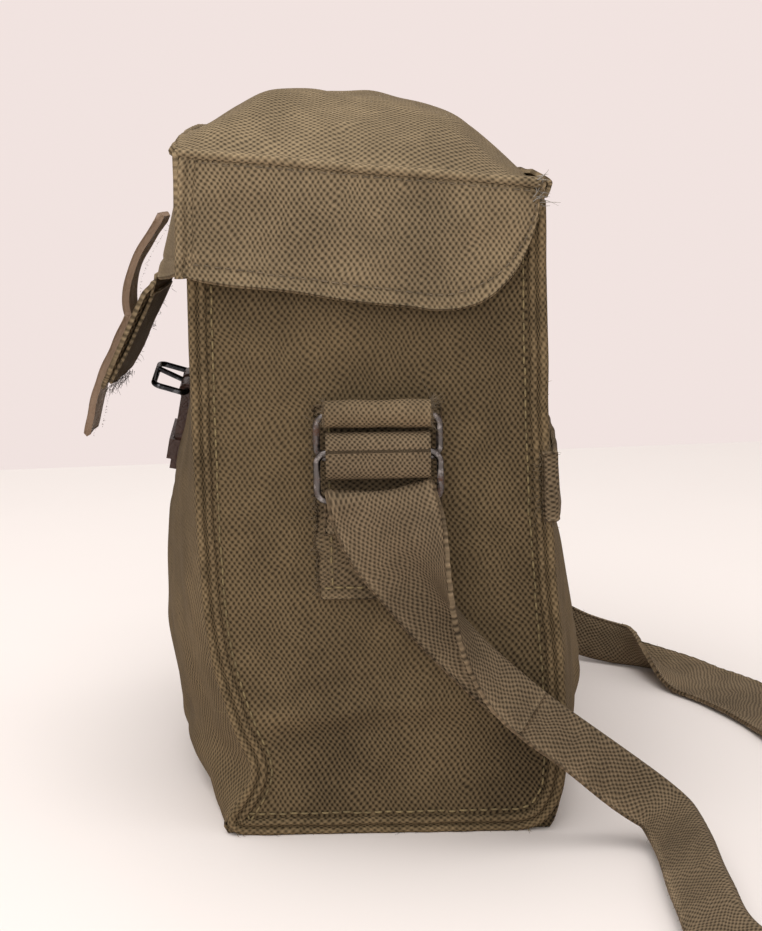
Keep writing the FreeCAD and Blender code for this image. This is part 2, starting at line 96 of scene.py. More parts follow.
# The strap's middle line: x, y, z, width there, and the direction of its width.
STRAP_ROUTE = [
    (121.7, -3.5, 117.0, 38.0, (0, 1, 0)),
    (121.7, -2.8, 133.6, 38.0, (0, 1, 0)),
    (127.1, -2.8, 133.6, 38.0, (0, 1, 0)),
    (127.5, 2.0, 120.0, 37.0, (0, 1, 0.3)),
    (128.0, 10.0, 103.5, 32.0, (0, 1, 0.5)),
    (128.0, 19.5, 86.0, 28.5, (0, 1, 0.6)),
    (128.0, 33.0, 68.0, 25.0, (0, 1, 0.8)),
    (128.0, 51.0, 50.5, 21.5, (0, 1, 1)),
    (128.0, 71.0, 35.5, 20.0, (0, 1, 1)),
    (127.5, 89.0, 21.5, 19.0, (0, 1, 1)),
    (131.0, 101.5, 12.5, 19.0, (-0.3, 0.6, 0.8)),
    (146.0, 104.5, 9.6, 19.0, (0, 0.63, 0.78)),
    (170.0, 104.0, 9.3, 19.0, (0, 0.63, 0.78)),
    (204.0, 103.0, 9.3, 19.0, (0, 0.63, 0.78)),
    (236.0, 103.5, 9.3, 19.0, (0, 0.63, 0.78)),
    (260.0, 113.0, 9.6, 19.0, (-0.4, 0.6, 0.78)),
    (269.0, 134.0, 9.8, 19.0, (-0.6, 0.1, 0.78)),
    (258.0, 156.0, 10.2, 21.0, (-0.4, -0.5, 0.78)),
    (230.0, 168.0, 10.4, 25.0, (0, -0.7, 0.6)),
    (190.0, 174.0, 6.0, 32.0, (0, -0.95, 0.25)),
    (145.0, 178.0, 1.6, 38.0, (0, -1, 0)),
    (100.0, 182.0, 1.2, 38.0, (0, -1, 0)),
    (55.0, 184.0, 1.2, 38.0, (0, -1, 0)),
    (11.0, 180.0, 1.2, 38.0, (0, -1, 0)),
    (-29.0, 167.0, 1.2, 38.0, (0, -1, 0)),
    (-62.0, 149.5, 1.7, 38.0, (0, -1, 0)),
    (-89.0, 132.0, 5.4, 32.0, (0.5, -0.9, -0.15)),
    (-108.0, 111.0, 8.4, 22.0, (0.5, -0.6, -0.5)),
    (-120.0, 91.0, 12.5, 19.0, (0.3, -0.7, -0.8)),
    (-126.5, 72.0, 25.0, 19.0, (0, -1, -0.8)),
    (-128.0, 52.0, 43.0, 24.0, (0, -1, -0.8)),
    (-128.0, 34.0, 62.0, 31.0, (0, -1, -0.7)),
    (-128.0, 20.0, 84.0, 36.0, (0, -1, -0.6)),
    (-128.0, 8.5, 103.5, 38.0, (0, -1, -0.4)),
    (-127.5, 1.0, 120.0, 38.0, (0, -1, -0.2)),
    (-127.1, -2.8, 133.6, 38.0, (0, -1, 0)),
    (-121.7, -2.8, 133.6, 38.0, (0, -1, 0)),
    (-121.7, -3.5, 117.0, 38.0, (0, -1, 0)),
]
STRAP_CUTS = (7, 30)


# ---------------------------------------------------------------- numbers

def along(knots, values, x):
    """A smooth curve through values at knots."""
    knots = np.asarray(knots, float)
    values = np.asarray(values, float)
    slopes = np.gradient(values, knots)
    x = np.clip(np.asarray(x, float), knots[0], knots[-1])
    i = np.clip(np.searchsorted(knots, x, side="right") - 1, 0, len(knots) - 2)
    h = knots[i + 1] - knots[i]
    t = (x - knots[i]) / h
    first = (2 * t**3 - 3 * t**2 + 1) * values[i] + (t**3 - 2 * t**2 + t) * h * slopes[i]
    return first + (3 * t**2 - 2 * t**3) * values[i + 1] + (t**3 - t**2) * h * slopes[i + 1]


def ripple(a, b, size, seed, waves=7):
    """Soft uneven dents, about -1 to 1, over two lengths."""
    rng = np.random.default_rng(seed)
    total = 0.0
    for _ in range(waves):
        turn = rng.uniform(0, 2 * math.pi)
        pitch = size * rng.uniform(0.7, 1.6)
        phase = rng.uniform(0, 2 * math.pi)
        total = total + np.sin((a * math.cos(turn) + b * math.sin(turn)) * 2 * math.pi / pitch + phase)
    return total / math.sqrt(waves)


def step_up(x, low, high):
    t = np.clip((np.asarray(x, float) - low) / (high - low), 0, 1)
    return t * t * (3 - 2 * t)


def hump(x, middle, width):
    return np.exp(-((np.asarray(x, float) - middle) / width) ** 2)


def crease(a, b, start, end, width):
    """1 on the line from start to end, fading across it and at its ends."""
    start, end = np.array(start, float), np.array(end, float)
    d = end - start
    t = ((a - start[0]) * d[0] + (b - start[1]) * d[1]) / (d @ d)
    off = ((a - start[0]) * -d[1] + (b - start[1]) * d[0]) / math.sqrt(d @ d)
    return np.exp(-(off / width) ** 2) * step_up(t, -0.15, 0.2) * (1 - step_up(t, 0.7, 1.15))


def unit(v):
    return v / np.maximum(np.linalg.norm(v, axis=-1, keepdims=True), 1e-9)


def resample(points, spacing):
    points = np.asarray(points, float)
    steps = np.linalg.norm(np.diff(points, axis=0), axis=1)
    at = np.concatenate([[0], np.cumsum(steps)])
    new = np.linspace(0, at[-1], max(2, int(round(at[-1] / spacing)) + 1))
    return np.stack([np.interp(new, at, points[:, k]) for k in range(points.shape[1])], 1)


def smoothed(points, rounds):
    points = points.copy()
    for _ in range(rounds):
        points[1:-1] = (points[:-2] + 2 * points[1:-1] + points[2:]) / 4
    return points


# ---------------------------------------------------------------- meshes

def make_mesh(name, points, faces, cloth=None, wear=None, tone_and_shade=None):
    """One piece from points in millimetres, with the cloth's own lengths as its UV map."""
    mesh = bpy.data.meshes.new(name)
    mesh.from_pydata((np.asarray(points, float) * MM).tolist(), [], [list(map(int, f)) for f in faces])
    mesh.update()
    mesh.polygons.foreach_set("use_smooth", [True] * len(mesh.polygons))
    if cloth is not None:
        layer = mesh.uv_layers.new(name="cloth")
        index = np.empty(len(mesh.loops), np.int32)
        mesh.loops.foreach_get("vertex_index", index)
        layer.data.foreach_set("uv", (np.asarray(cloth, float)[index] * MM).astype(np.float32).ravel())
    # wear holds rubbed edges; the other attribute holds random tone together with painted light and shade
    for title, value in (("wear", wear), ("tone_and_shade", tone_and_shade)):
        data = np.zeros(len(points)) if value is None else np.asarray(value, float)
        layer = mesh.attributes.new(title, "FLOAT", "POINT")
        layer.data.foreach_set("value", data.astype(np.float32))
    obj = bpy.data.objects.new(name, mesh)
    bpy.context.scene.collection.objects.link(obj)
    return obj


def grid_faces(rows, columns, start=0, closed=False):
    faces = []
    for i in range(rows - 1):
        for j in range(columns if closed else columns - 1):
            k = (j + 1) % columns
            a, b = start + i * columns + j, start + i * columns + k
            faces.append((a, b, b + columns, a + columns))
    return faces


def grid_normals(p):
    du = np.gradient(p, axis=0)
    dv = np.gradient(p, axis=1)
    return unit(np.cross(du, dv))


def cloth_piece(name, points, cloth, thickness, tone_and_shade=None, wear_width=2.5, flip=False):
    """A sheet with thickness and rounded edges from a grid of points on its outer face."""
    nu, nv = points.shape[:2]
    normal = grid_normals(points) * (-1 if flip else 1)
    inner = points - normal * thickness
    edge = [(i, 0) for i in range(nu)] + [(nu - 1, j) for j in range(1, nv)]
    edge += [(i, nv - 1) for i in range(nu - 2, -1, -1)] + [(0, j) for j in range(nv - 2, 0, -1)]
    rim = []
    rim_cloth = []
    for i, j in edge:
        ci, cj = min(max(i, 1), nu - 2), min(max(j, 1), nv - 2)
        away = points[i, j] - points[ci, cj]
        away = away - normal[i, j] * (away @ normal[i, j])
        rim.append((points[i, j] + inner[i, j]) / 2 + unit(away) * thickness * 0.42)
        rim_cloth.append(cloth[i, j])
    count = nu * nv
    faces = grid_faces(nu, nv)
    back = [tuple(count + v for v in reversed(f)) for f in faces]
    ring = list(range(2 * count, 2 * count + len(edge)))
    sides = []
    for n in range(len(edge)):
        m = (n + 1) % len(edge)
        a = edge[n][0] * nv + edge[n][1]
        b = edge[m][0] * nv + edge[m][1]
        sides.append((b, a, ring[n], ring[m]))
        sides.append((ring[m], ring[n], count + a, count + b))
    all_points = np.concatenate([points.reshape(-1, 3), inner.reshape(-1, 3), np.array(rim)])
    all_cloth = np.concatenate([cloth.reshape(-1, 2), cloth.reshape(-1, 2), np.array(rim_cloth)])
    u, v = cloth[..., 0], cloth[..., 1]
    near = np.minimum(np.minimum(u - u.min(), u.max() - u), np.minimum(v - v.min(), v.max() - v))
    wear = np.exp(-near / wear_width).ravel()
    wear = np.concatenate([wear, wear, np.ones(len(edge))])
    shade = np.zeros(count) if tone_and_shade is None else tone_and_shade.ravel()
    shade = np.concatenate([shade, shade - 0.1, np.zeros(len(edge))])
    all_faces = faces + back + sides
    if flip:
        all_faces = [tuple(reversed(f)) for f in all_faces]
    return make_mesh(name, all_points, all_faces, all_cloth, wear, shade)


def swept(name, path, across, out, profile, sway=0.0, seed=1, tone_and_shade=None):
    """A closed section carried along a path; across and out are its two directions."""
    n, m = len(path), len(profile)
    steps = np.concatenate([[0], np.cumsum(np.linalg.norm(np.diff(path, axis=0), axis=1))])
    swell = 1 + sway * ripple(steps, steps * 0, 14, seed)
    shift = sway * 1.3 * ripple(steps, steps * 0, 31, seed + 1)
    profile = np.asarray(profile, float)
    points = np.empty((n, m, 3))
    for j, (a, h) in enumerate(profile):
        points[:, j] = path + across * (a + shift)[:, None] + out * (h * swell)[:, None]
    around = np.concatenate([[0], np.cumsum(np.linalg.norm(np.diff(profile, axis=0), axis=1))])
    cloth = np.stack(np.meshgrid(around, steps), -1).reshape(-1, 2)
    faces = grid_faces(n, m, closed=True)
    faces += [tuple(reversed(range(m))), tuple(range((n - 1) * m, n * m))]
    height = profile[:, 1]
    crown = (height - height.min()) / max(np.ptp(height), 1e-6)
    wear = np.tile(0.8 * step_up(crown, 0.75, 1.0), n)
    shade = np.tile(-0.5 * (1 - step_up(crown, 0.15, 0.6)), n)
    if tone_and_shade is not None:
        shade = shade + np.repeat(tone_and_shade, m)
    return make_mesh(name, points.reshape(-1, 3), faces, cloth, wear, shade)


def stitches(name, rows, length=2.9, gap=1.1, width=0.42, seed=3):
    """Thread stitches along rows; a row is its points and the outward direction at each."""
    rng = np.random.default_rng(seed)
    points, faces = [], []
    ring = 6
    for path, out in rows:
        line = resample(np.concatenate([path, out], 1), (length + gap) / 2)
        for i in range(0, len(line) - 1, 2):
            a, b = line[i, :3], line[min(i + 1, len(line) - 1), :3]
            up = unit(line[i, 3:])
            d = unit(b - a)
            a = a + np.cross(up, d) * rng.normal(0, 0.12)
            side = unit(np.cross(d, up))
            run = length * rng.uniform(0.85, 1.1)
            start = len(points)
            for t, lift, fat in ((0.0, -0.25, 0.5), (0.2, 0.2, 0.9), (0.5, 0.34, 1.0), (0.8, 0.2, 0.9), (1.0, -0.25, 0.5)):
                centre = a + d * run * t + up * lift * width * 1.6
                for k in range(ring):
                    w = 2 * math.pi * k / ring
                    points.append(centre + (side * math.cos(w) + up * math.sin(w)) * width * fat)
            faces += grid_faces(5, ring, start, closed=True)
            faces.append(tuple(start + k for k in reversed(range(ring))))
            faces.append(tuple(start + 4 * ring + k for k in range(ring)))
    return make_mesh(name, points, faces)


def threads(name, roots, heading, length, width=0.16, seed=5, curl=0.8):
    """Loose fibres that stand out of a frayed edge."""
    rng = np.random.default_rng(seed)
    points, faces = [], []
    for root, way in zip(roots, heading):
        reach = length * rng.uniform(0.35, 1.3)
        way = unit(np.asarray(way, float) + rng.normal(0, 0.45, 3))
        bend = rng.normal(0, curl, 3)
        start = len(points)
        for s in range(5):
            t = s / 4
            centre = np.asarray(root, float) + way * reach * t + bend * reach * t * t * 0.4
            side = unit(np.cross(way, [0.31, 0.52, 0.8]))
            up = np.cross(way, side)
            fat = width * (1 - 0.6 * t)
            for k in range(3):
                w = 2 * math.pi * k / 3
                points.append(centre + (side * math.cos(w) + up * math.sin(w)) * fat)
        faces += grid_faces(5, 3, start, closed=True)
        faces.append((start + 2, start + 1, start))
        faces.append((start + 12, start + 13, start + 14))
    return make_mesh(name, points, faces)


def dress(obj, finish, body=None, nodes=(), floor=None):
    """Gives a piece its finish, hides the frame parts it stands for and parents it to what carries it."""
    obj.data.materials.clear()
    obj.data.materials.append(FINISHES[finish])
    if nodes:
        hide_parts(*nodes)
    if floor is not None:
        for vertex in obj.data.vertices:
            vertex.co.z = max(vertex.co.z, floor * MM)
    if body:
        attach(obj, body)
    return obj


# ---------------------------------------------------------------- finishes

class Value:
    """One number, vector or colour in a material, so that shader maths reads as expressions."""

    def __init__(self, finish, socket):
        self.finish = finish
        self.socket = socket

    def _maths(self, operation, *values):
        return self.finish.node("ShaderNodeMath", dict(enumerate(values)), operation=operation)

    def __add__(self, other):
        return self._maths("ADD", self, other)

    __radd__ = __add__

    def __sub__(self, other):
        return self._maths("SUBTRACT", self, other)

    def __rsub__(self, other):
        return self._maths("SUBTRACT", other, self)

    def __mul__(self, other):
        return self._maths("MULTIPLY", self, other)

    __rmul__ = __mul__

    def __truediv__(self, other):
        return self._maths("DIVIDE", self, other)

    def __pow__(self, other):
        return self._maths("POWER", self, other)

    def clamped(self):
        return self._maths("MAXIMUM", self._maths("MINIMUM", self, 1.0), 0.0)

    def cosine(self):
        return self._maths("COSINE", self)

    def over(self, low, high):
        """0 below low and 1 above high, with a soft rise between."""
        return self.finish.node(
            "ShaderNodeMapRange", {0: self, 1: low, 2: high}, interpolation_type="SMOOTHSTEP"
        )


FINISHES = {}


class Finish:
    """A material with one Principled shader and short ways to add nodes to it."""

    def __init__(self, name, **constants):
        material = bpy.data.materials.new("bag_" + name)
        FINISHES[name] = material
        material.use_nodes = True
        self.tree = material.node_tree
        self.tree.nodes.clear()
        output = self.tree.nodes.new("ShaderNodeOutputMaterial")
        self.shader = self.tree.nodes.new("ShaderNodeBsdfPrincipled")
        self.tree.links.new(self.shader.outputs[0], output.inputs[0])
        for socket, value in constants.items():
            self.shader.inputs[socket.replace("_", " ")].default_value = value

    def put(self, socket, value):
        if isinstance(value, Value):
            self.tree.links.new(value.socket, socket)
        elif isinstance(value, (tuple, list)) and socket.type == "RGBA":
            socket.default_value = (*value[:3], 1.0)
        else:
            socket.default_value = value

    def node(self, kind, inputs=None, output=0, stops=None, **settings):
        node = self.tree.nodes.new(kind)
        for name, value in settings.items():
            setattr(node, name, value)
        if stops:
            ramp = node.color_ramp.elements
            while len(ramp) < len(stops):
                ramp.new(0.5)
            for element, (position, colour) in zip(ramp, stops):
                element.position = position
                element.color = (*colour, 1.0)
        for key, value in (inputs or {}).items():
            self.put(node.inputs[key], value)
        return Value(self, node.outputs[output])

    def wire(self, **links):
        for name, value in links.items():
            self.put(self.shader.inputs[name.replace("_", " ")], value)

    def attribute(self, name):
        return self.node("ShaderNodeAttribute", output="Fac", attribute_name=name)

    def place(self):
        return self.node("ShaderNodeTexCoord", output="Object")

    def noise(self, scale, detail=3.0, roughness=0.55, vector=None):
        where = self.place() if vector is None else vector
        return self.node("ShaderNodeTexNoise", {"Vector": where, "Scale": scale, "Detail": detail, "Roughness": roughness})

    def mix(self, share, first, second, blend="MIX"):
        return self.node(
            "ShaderNodeMix", {0: share, 6: first, 7: second}, output=2, data_type="RGBA", blend_type=blend
        )

    def scaled(self, colour, amount):
        return self.node("ShaderNodeVectorMath", {0: colour, "Scale": amount}, operation="SCALE")


def woven(name, colour, faded, dark, across=2.1, down=1.4, relief=0.35, speckle=0.35, patch=0.3):
    """Plain-weave cotton: staggered thread crowns with a painted highlight, gaps between them darkened as painted
    shade, uneven dye and rubbed edges.
    """
    f = Finish(name, Roughness=0.92)
    f.shader.inputs["Specular IOR Level"].default_value = 0.1
    cloth = f.node("ShaderNodeUVMap", uv_map="cloth")
    u = f.node("ShaderNodeSeparateXYZ", {0: cloth}, output=0)
    v = f.node("ShaderNodeSeparateXYZ", {0: cloth}, output=1)
    slub = f.noise(260.0, 2.0, vector=cloth) - 0.5
    drift = f.noise(45.0, 2.0, vector=cloth) - 0.5
    u = u + slub * 0.0012 + drift * 0.006
    v = v + drift * 0.004 + slub * 0.0005
    weave = (u * (2 * math.pi / (across * MM))).cosine() * (v * (math.pi / (down * MM))).cosine()
    crown = (weave * 0.5 + 0.5).clamped()
    fuzz = f.noise(1700.0, 3.0, 0.7, vector=cloth)
    mottle = f.noise(95.0, 4.0, 0.65)
    broad = f.noise(17.0, 3.0, 0.5)
    rubbed = (f.attribute("wear") * (mottle.over(0.3, 0.62)) * 0.75).clamped()
    # painted highlight: each thread crown is made lighter than the gaps around it; fuzz, mottle and broad add random
    # tone
    lightness = 0.52 + crown * 0.78 + (fuzz - 0.5) * speckle * 1.5 + (mottle - 0.5) * speckle * 0.6 + (broad - 0.5) * patch
    # adds each piece's random tone and painted light and shade
    lightness = lightness + f.attribute("tone_and_shade") * 0.5
    base = f.mix((broad * 0.6 + mottle * 0.4).over(0.36, 0.66), colour, faded)
    # painted shade: the gaps between thread crowns are mixed towards the dark tint
    base = f.mix((1 - crown).over(0.45, 0.95) * 0.8, base, dark)
    base = f.mix(rubbed, base, tuple(min(1.0, c * 1.35) for c in faded))
    f.wire(Base_Color=f.scaled(base, lightness))
    height = crown * relief + fuzz * 0.12 + mottle * 0.15
    f.wire(Normal=f.node("ShaderNodeBump", {"Height": height, "Strength": 0.9, "Distance": 0.0011}))
    return f


def leather(name, colour, pale, dark, gloss, grain=900.0, relief=0.25):
    """Leather with a pebbled grain, cracks, and darker rough edges."""
    f = Finish(name, Roughness=gloss)
    pebble = f.node("ShaderNodeTexVoronoi", {"Vector": f.place(), "Scale": grain}, output="Distance", feature="F1")
    fine = f.noise(2600.0, 3.0)
    broad = f.noise(70.0, 4.0, 0.6)
    cracks = f.node("ShaderNodeTexVoronoi", {"Vector": f.place(), "Scale": grain / 3}, output="Distance", feature="DISTANCE_TO_EDGE")
    base = f.mix(broad.over(0.35, 0.68), colour, pale)
    base = f.mix((f.attribute("wear") * (0.6 + fine * 0.6)).clamped(), base, dark)
    base = f.mix((1 - cracks.over(0.0, 0.09)) * 0.35, base, dark)
    f.wire(Base_Color=f.scaled(base, 0.82 + fine * 0.36))
    f.wire(Roughness=(gloss - 0.12 + broad * 0.25).clamped())
    height = pebble * relief + fine * 0.15 + cracks.over(0.0, 0.1) * 0.2
    f.wire(Normal=f.node("ShaderNodeBump", {"Height": height, "Strength": 0.6, "Distance": 0.0006}))
    return f


def steel(name, metal, rust, amount, roughness):
    """Drawn wire, rubbed bright in places and rusted in others."""
    f = Finish(name)
    broad = f.noise(140.0, 4.0, 0.6)
    fine = f.noise(1500.0, 4.0, 0.7)
    rusty = (broad * 0.6 + fine * 0.4).over(1 - amount - 0.06, 1 - amount + 0.08)
    worn = f.noise(420.0, 2.0).over(0.5, 0.7)
    base = f.mix(worn, metal, tuple(min(1.0, c * 2.2 + 0.05) for c in metal))
    f.wire(Base_Color=f.mix(rusty, base, rust))
    f.wire(Metallic=1 - rusty * 0.85)
    f.wire(Roughness=(roughness + rusty * 0.4 + (fine - 0.5) * 0.2).clamped())
    f.wire(Normal=f.node("ShaderNodeBump", {"Height": fine * 0.4 + rusty * 0.5, "Strength": 0.5, "Distance": 0.0003}))
    return f


def thread_finish(name, colour):
    f = Finish(name, Roughness=0.8)
    fibre = f.noise(1800.0, 3.0)
    f.wire(Base_Color=f.scaled(f.mix(f.noise(60.0).over(0.4, 0.6), colour, tuple(c * 0.7 for c in colour)), 0.7 + fibre * 0.6))
    f.wire(Normal=f.node("ShaderNodeBump", {"Height": fibre, "Strength": 0.4, "Distance": 0.0003}))
    return f


# ---------------------------------------------------------------- settings

class ClothSettings(bpy.types.PropertyGroup):
    body: FloatVectorProperty(name="Body canvas", description="Dyed colour of the body's canvas", subtype="COLOR", default=(0.136, 0.095, 0.051), min=0, max=1)
    lid: FloatVectorProperty(name="Lid canvas", description="Sun-faded colour of the lid's canvas", subtype="COLOR", default=(0.200, 0.146, 0.086), min=0, max=1)
    webbing: FloatVectorProperty(name="Webbing", description="Colour of the strap and bands", subtype="COLOR", default=(0.160, 0.115, 0.070), min=0, max=1)
    tab: FloatVectorProperty(name="Tab canvas", description="Colour of the ring tabs", subtype="COLOR", default=(0.135, 0.096, 0.056), min=0, max=1)
    crown_across: FloatProperty(name="Thread pitch", description="Distance between crowns along a row, in millimetres", default=2.1, min=0.5, max=5)
    crown_down: FloatProperty(name="Row pitch", description="Distance between rows of crowns, in millimetres", default=1.4, min=0.4, max=4)


class ShapeSettings(bpy.types.PropertyGroup):
    canvas: FloatProperty(name="Canvas thickness", description="Body and lid cloth, in millimetres", default=2.0, min=0.5, max=4)
    strap_cloth: FloatProperty(name="Strap thickness", description="Strap webbing, in millimetres", default=1.9, min=0.5, max=4)
    wrinkle: FloatProperty(name="Wrinkles", description="Depth of the body's soft dents, in millimetres", default=1.4, min=0, max=4)
    lid_wrinkle: FloatProperty(name="Lid wrinkles", description="Depth of the lid's soft dents, in millimetres", default=1.5, min=0, max=4)
    leather_cloth: FloatProperty(name="Billet thickness", description="Closing strap leather, in millimetres", default=3.0, min=1, max=5)


class StageSettings(bpy.types.PropertyGroup):
    table: FloatVectorProperty(name="Table", description="Table colour", subtype="COLOR", default=(0.90, 0.825, 0.785), min=0, max=1)
    wall: FloatVectorProperty(name="Wall", description="Wall colour behind the table", subtype="COLOR", default=(0.88, 0.77, 0.745), min=0, max=1)
    lamp: FloatProperty(name="Overhead lamp", description="Power of the soft lamp above", default=15.0, min=0, unit="POWER")
    fill: FloatProperty(name="Fill", description="Strength of the light from all round", default=0.62, min=0)


class StepOperator:
    bl_options = {"REGISTER", "UNDO"}

    def execute(self, context):
        self.build(context.scene)
        return {"FINISHED"}


# ---------------------------------------------------------------- camera and light

def aim(camera, place, yaw, pitch, roll):
    forward = Vector((-math.cos(pitch) * math.cos(yaw), -math.cos(pitch) * math.sin(yaw), -math.sin(pitch)))
    level = Vector((-math.sin(yaw), math.cos(yaw), 0.0))
    up = level.cross(forward)
    right = math.cos(roll) * level + math.sin(roll) * up
    top = math.cos(roll) * up - math.sin(roll) * level
    turn = Matrix((right, top, -forward)).transposed().to_4x4()
    camera.matrix_world = Matrix.Translation(Vector(place) * MM) @ turn


class BAG_OT_stage(StepOperator, bpy.types.Operator):
    """Camera, table, backdrop colour and lamps"""
    bl_idname = "bag.stage"
    bl_label = "Stage"

    def build(self, scene):
        look = scene.bag_stage
        data = bpy.data.cameras.new("camera")
        data.sensor_fit = "HORIZONTAL"
        data.sensor_width = 36.0
        data.lens = 85.4
        camera = bpy.data.objects.new("camera", data)
        scene.collection.objects.link(camera)
        aim(camera, (763.6, -1.7, 256.2), 0.0003, 0.1758, -0.0187)
        scene.camera = camera
        scene.view_settings.view_transform = "Standard"

        edge = np.array([[-656.0, -630.0], [-798.0, 640.0]])
        far = np.array([[2600.0, 2600.0], [2600.0, -2600.0]])
        first = edge[0] + (edge[0] - edge[1]) * 1.5
        last = edge[1] + (edge[1] - edge[0]) * 1.5
        corners = [first, last, far[0], far[1]]
        table = make_mesh("table", [(x, y, 0.0) for x, y in corners], [(3, 2, 1, 0)])
        finish = Finish("table", Roughness=0.55)
        finish.shader.inputs["Specular IOR Level"].default_value = 0.25
        cloud = finish.noise(2.2, 3.0)
        finish.wire(Base_Color=finish.scaled(finish.mix(0.0, tuple(look.table), tuple(look.table)), 0.97 + cloud * 0.06))
        table.data.materials.append(FINISHES["table"])

        world = bpy.data.worlds.new("studio")
        scene.world = world
        world.use_nodes = True
        tree = world.node_tree
        tree.nodes.clear()
        output = tree.nodes.new("ShaderNodeOutputWorld")
        light = tree.nodes.new("ShaderNodeBackground")
        light.inputs[0].default_value = (1.0, 0.985, 0.97, 1.0)
        light.inputs[1].default_value = look.fill
        wall = tree.nodes.new("ShaderNodeBackground")
        wall.inputs[0].default_value = (*look.wall, 1.0)
        wall.inputs[1].default_value = 1.0
        rays = tree.nodes.new("ShaderNodeLightPath")
        seen = tree.nodes.new("ShaderNodeMath")
        seen.operation = "MAXIMUM"
        tree.links.new(rays.outputs["Is Camera Ray"], seen.inputs[0])
        tree.links.new(rays.outputs["Is Glossy Ray"], seen.inputs[1])
        clear = tree.nodes.new("ShaderNodeMath")
        clear.operation = "MAXIMUM"
        tree.links.new(seen.outputs[0], clear.inputs[0])
        tree.links.new(rays.outputs["Is Transmission Ray"], clear.inputs[1])
        mix = tree.nodes.new("ShaderNodeMixShader")
        tree.links.new(clear.outputs[0], mix.inputs[0])
        tree.links.new(light.outputs[0], mix.inputs[1])
        tree.links.new(wall.outputs[0], mix.inputs[2])
        tree.links.new(mix.outputs[0], output.inputs[0])

        for name, place, size, power in (
            ("overhead", (0.15, -0.25, 1.5), 1.3, look.lamp),
            ("front_fill", (1.5, -0.2, 0.9), 1.2, look.lamp * 0.45),
        ):
            lamp = bpy.data.lights.new(name, "AREA")
            lamp.size = size
            lamp.energy = power
            obj = bpy.data.objects.new(name, lamp)
            obj.location = place
            obj.rotation_euler = (Vector((0, 0, 0.12)) - Vector(place)).to_track_quat("-Z", "Y").to_euler()
            scene.collection.objects.link(obj)


class BAG_OT_finishes(StepOperator, bpy.types.Operator):
    """Canvas, webbing, leather, steel and thread"""
    bl_idname = "bag.finishes"
    bl_label = "Finishes"

    def build(self, scene):
        c = scene.bag_cloth
        pitch = {"across": c.crown_across, "down": c.crown_down}

        def tints(colour):
            base = tuple(colour)
            # the third, dark tint is the painted shade colour for the weave's gaps
            return base, tuple(x * 1.28 for x in base), tuple(x * 0.42 for x in base)

        woven("body_canvas", *tints(c.body), **pitch)
        woven("lid_canvas", *tints(c.lid), **pitch)
        woven("tab_canvas", *tints(c.tab), across=1.9, down=1.3)
        woven("webbing", *tints(c.webbing), across=1.8, down=1.25, relief=0.45)
        leather("tan_leather", (0.36, 0.26, 0.18), (0.46, 0.36, 0.27), (0.25, 0.155, 0.095), 0.62)
        leather("dark_leather", (0.050, 0.020, 0.013), (0.085, 0.032, 0.020), (0.022, 0.010, 0.008), 0.32)
        steel("blackened_steel", (0.035, 0.036, 0.040), (0.12, 0.05, 0.03), 0.25, 0.25)
        steel("ring_steel", (0.13, 0.12, 0.115), (0.10, 0.045, 0.026), 0.44, 0.32)
        thread_finish("stitch_thread", (0.25, 0.185, 0.085))
        thread_finish("dark_thread", (0.06, 0.042, 0.022))
        thread_finish("pale_thread", (0.42, 0.38, 0.33))
        thread_finish("cloth_thread", (0.19, 0.14, 0.085))
        thread_finish("leather_fuzz", (0.20, 0.115, 0.065))
        for node, finish in (
            ("upper_ring_right", "ring_steel"), ("upper_ring_left", "ring_steel"),
            ("lower_ring_right", "ring_steel"), ("lower_ring_left", "ring_steel"),
            ("buckle_frame", "blackened_steel"), ("buckle_prong", "blackened_steel"),
            ("buckle_chape", "dark_leather"), ("chape_keeper", "dark_leather"),
        ):
            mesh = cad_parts[node].data
            mesh.materials.clear()
            mesh.materials.append(FINISHES[finish])


# ---------------------------------------------------------------- strap

def strap_line():
    """The strap's middle line from its smooth curve, and where each point is along the route."""
    curve = bpy.data.curves.new("strap_route", "CURVE")
    curve.dimensions = "3D"
    curve.resolution_u = 12
    spline = curve.splines.new("NURBS")
    spline.points.add(len(STRAP_ROUTE) - 1)
    for point, (x, y, z, _, _) in zip(spline.points, STRAP_ROUTE):
        point.co = (x * MM, y * MM, z * MM, 1.0)
    spline.order_u = 3
    spline.use_endpoint_u = True
    guide = bpy.data.objects.new("strap_route", curve)
    bpy.context.scene.collection.objects.link(guide)
    bpy.context.view_layer.update()
    line = bpy.data.meshes.new_from_object(guide)
    points = np.array([v.co for v in line.vertices], float) / MM
    bpy.data.objects.remove(guide)
    bpy.data.meshes.remove(line)
    spans = len(STRAP_ROUTE) - 2
    where = np.linspace(0, spans, len(points))
    knots = np.concatenate([[0], np.arange(1, spans + 1) - 0.5, [spans]])
    return points, np.interp(where, knots, np.arange(len(STRAP_ROUTE)))


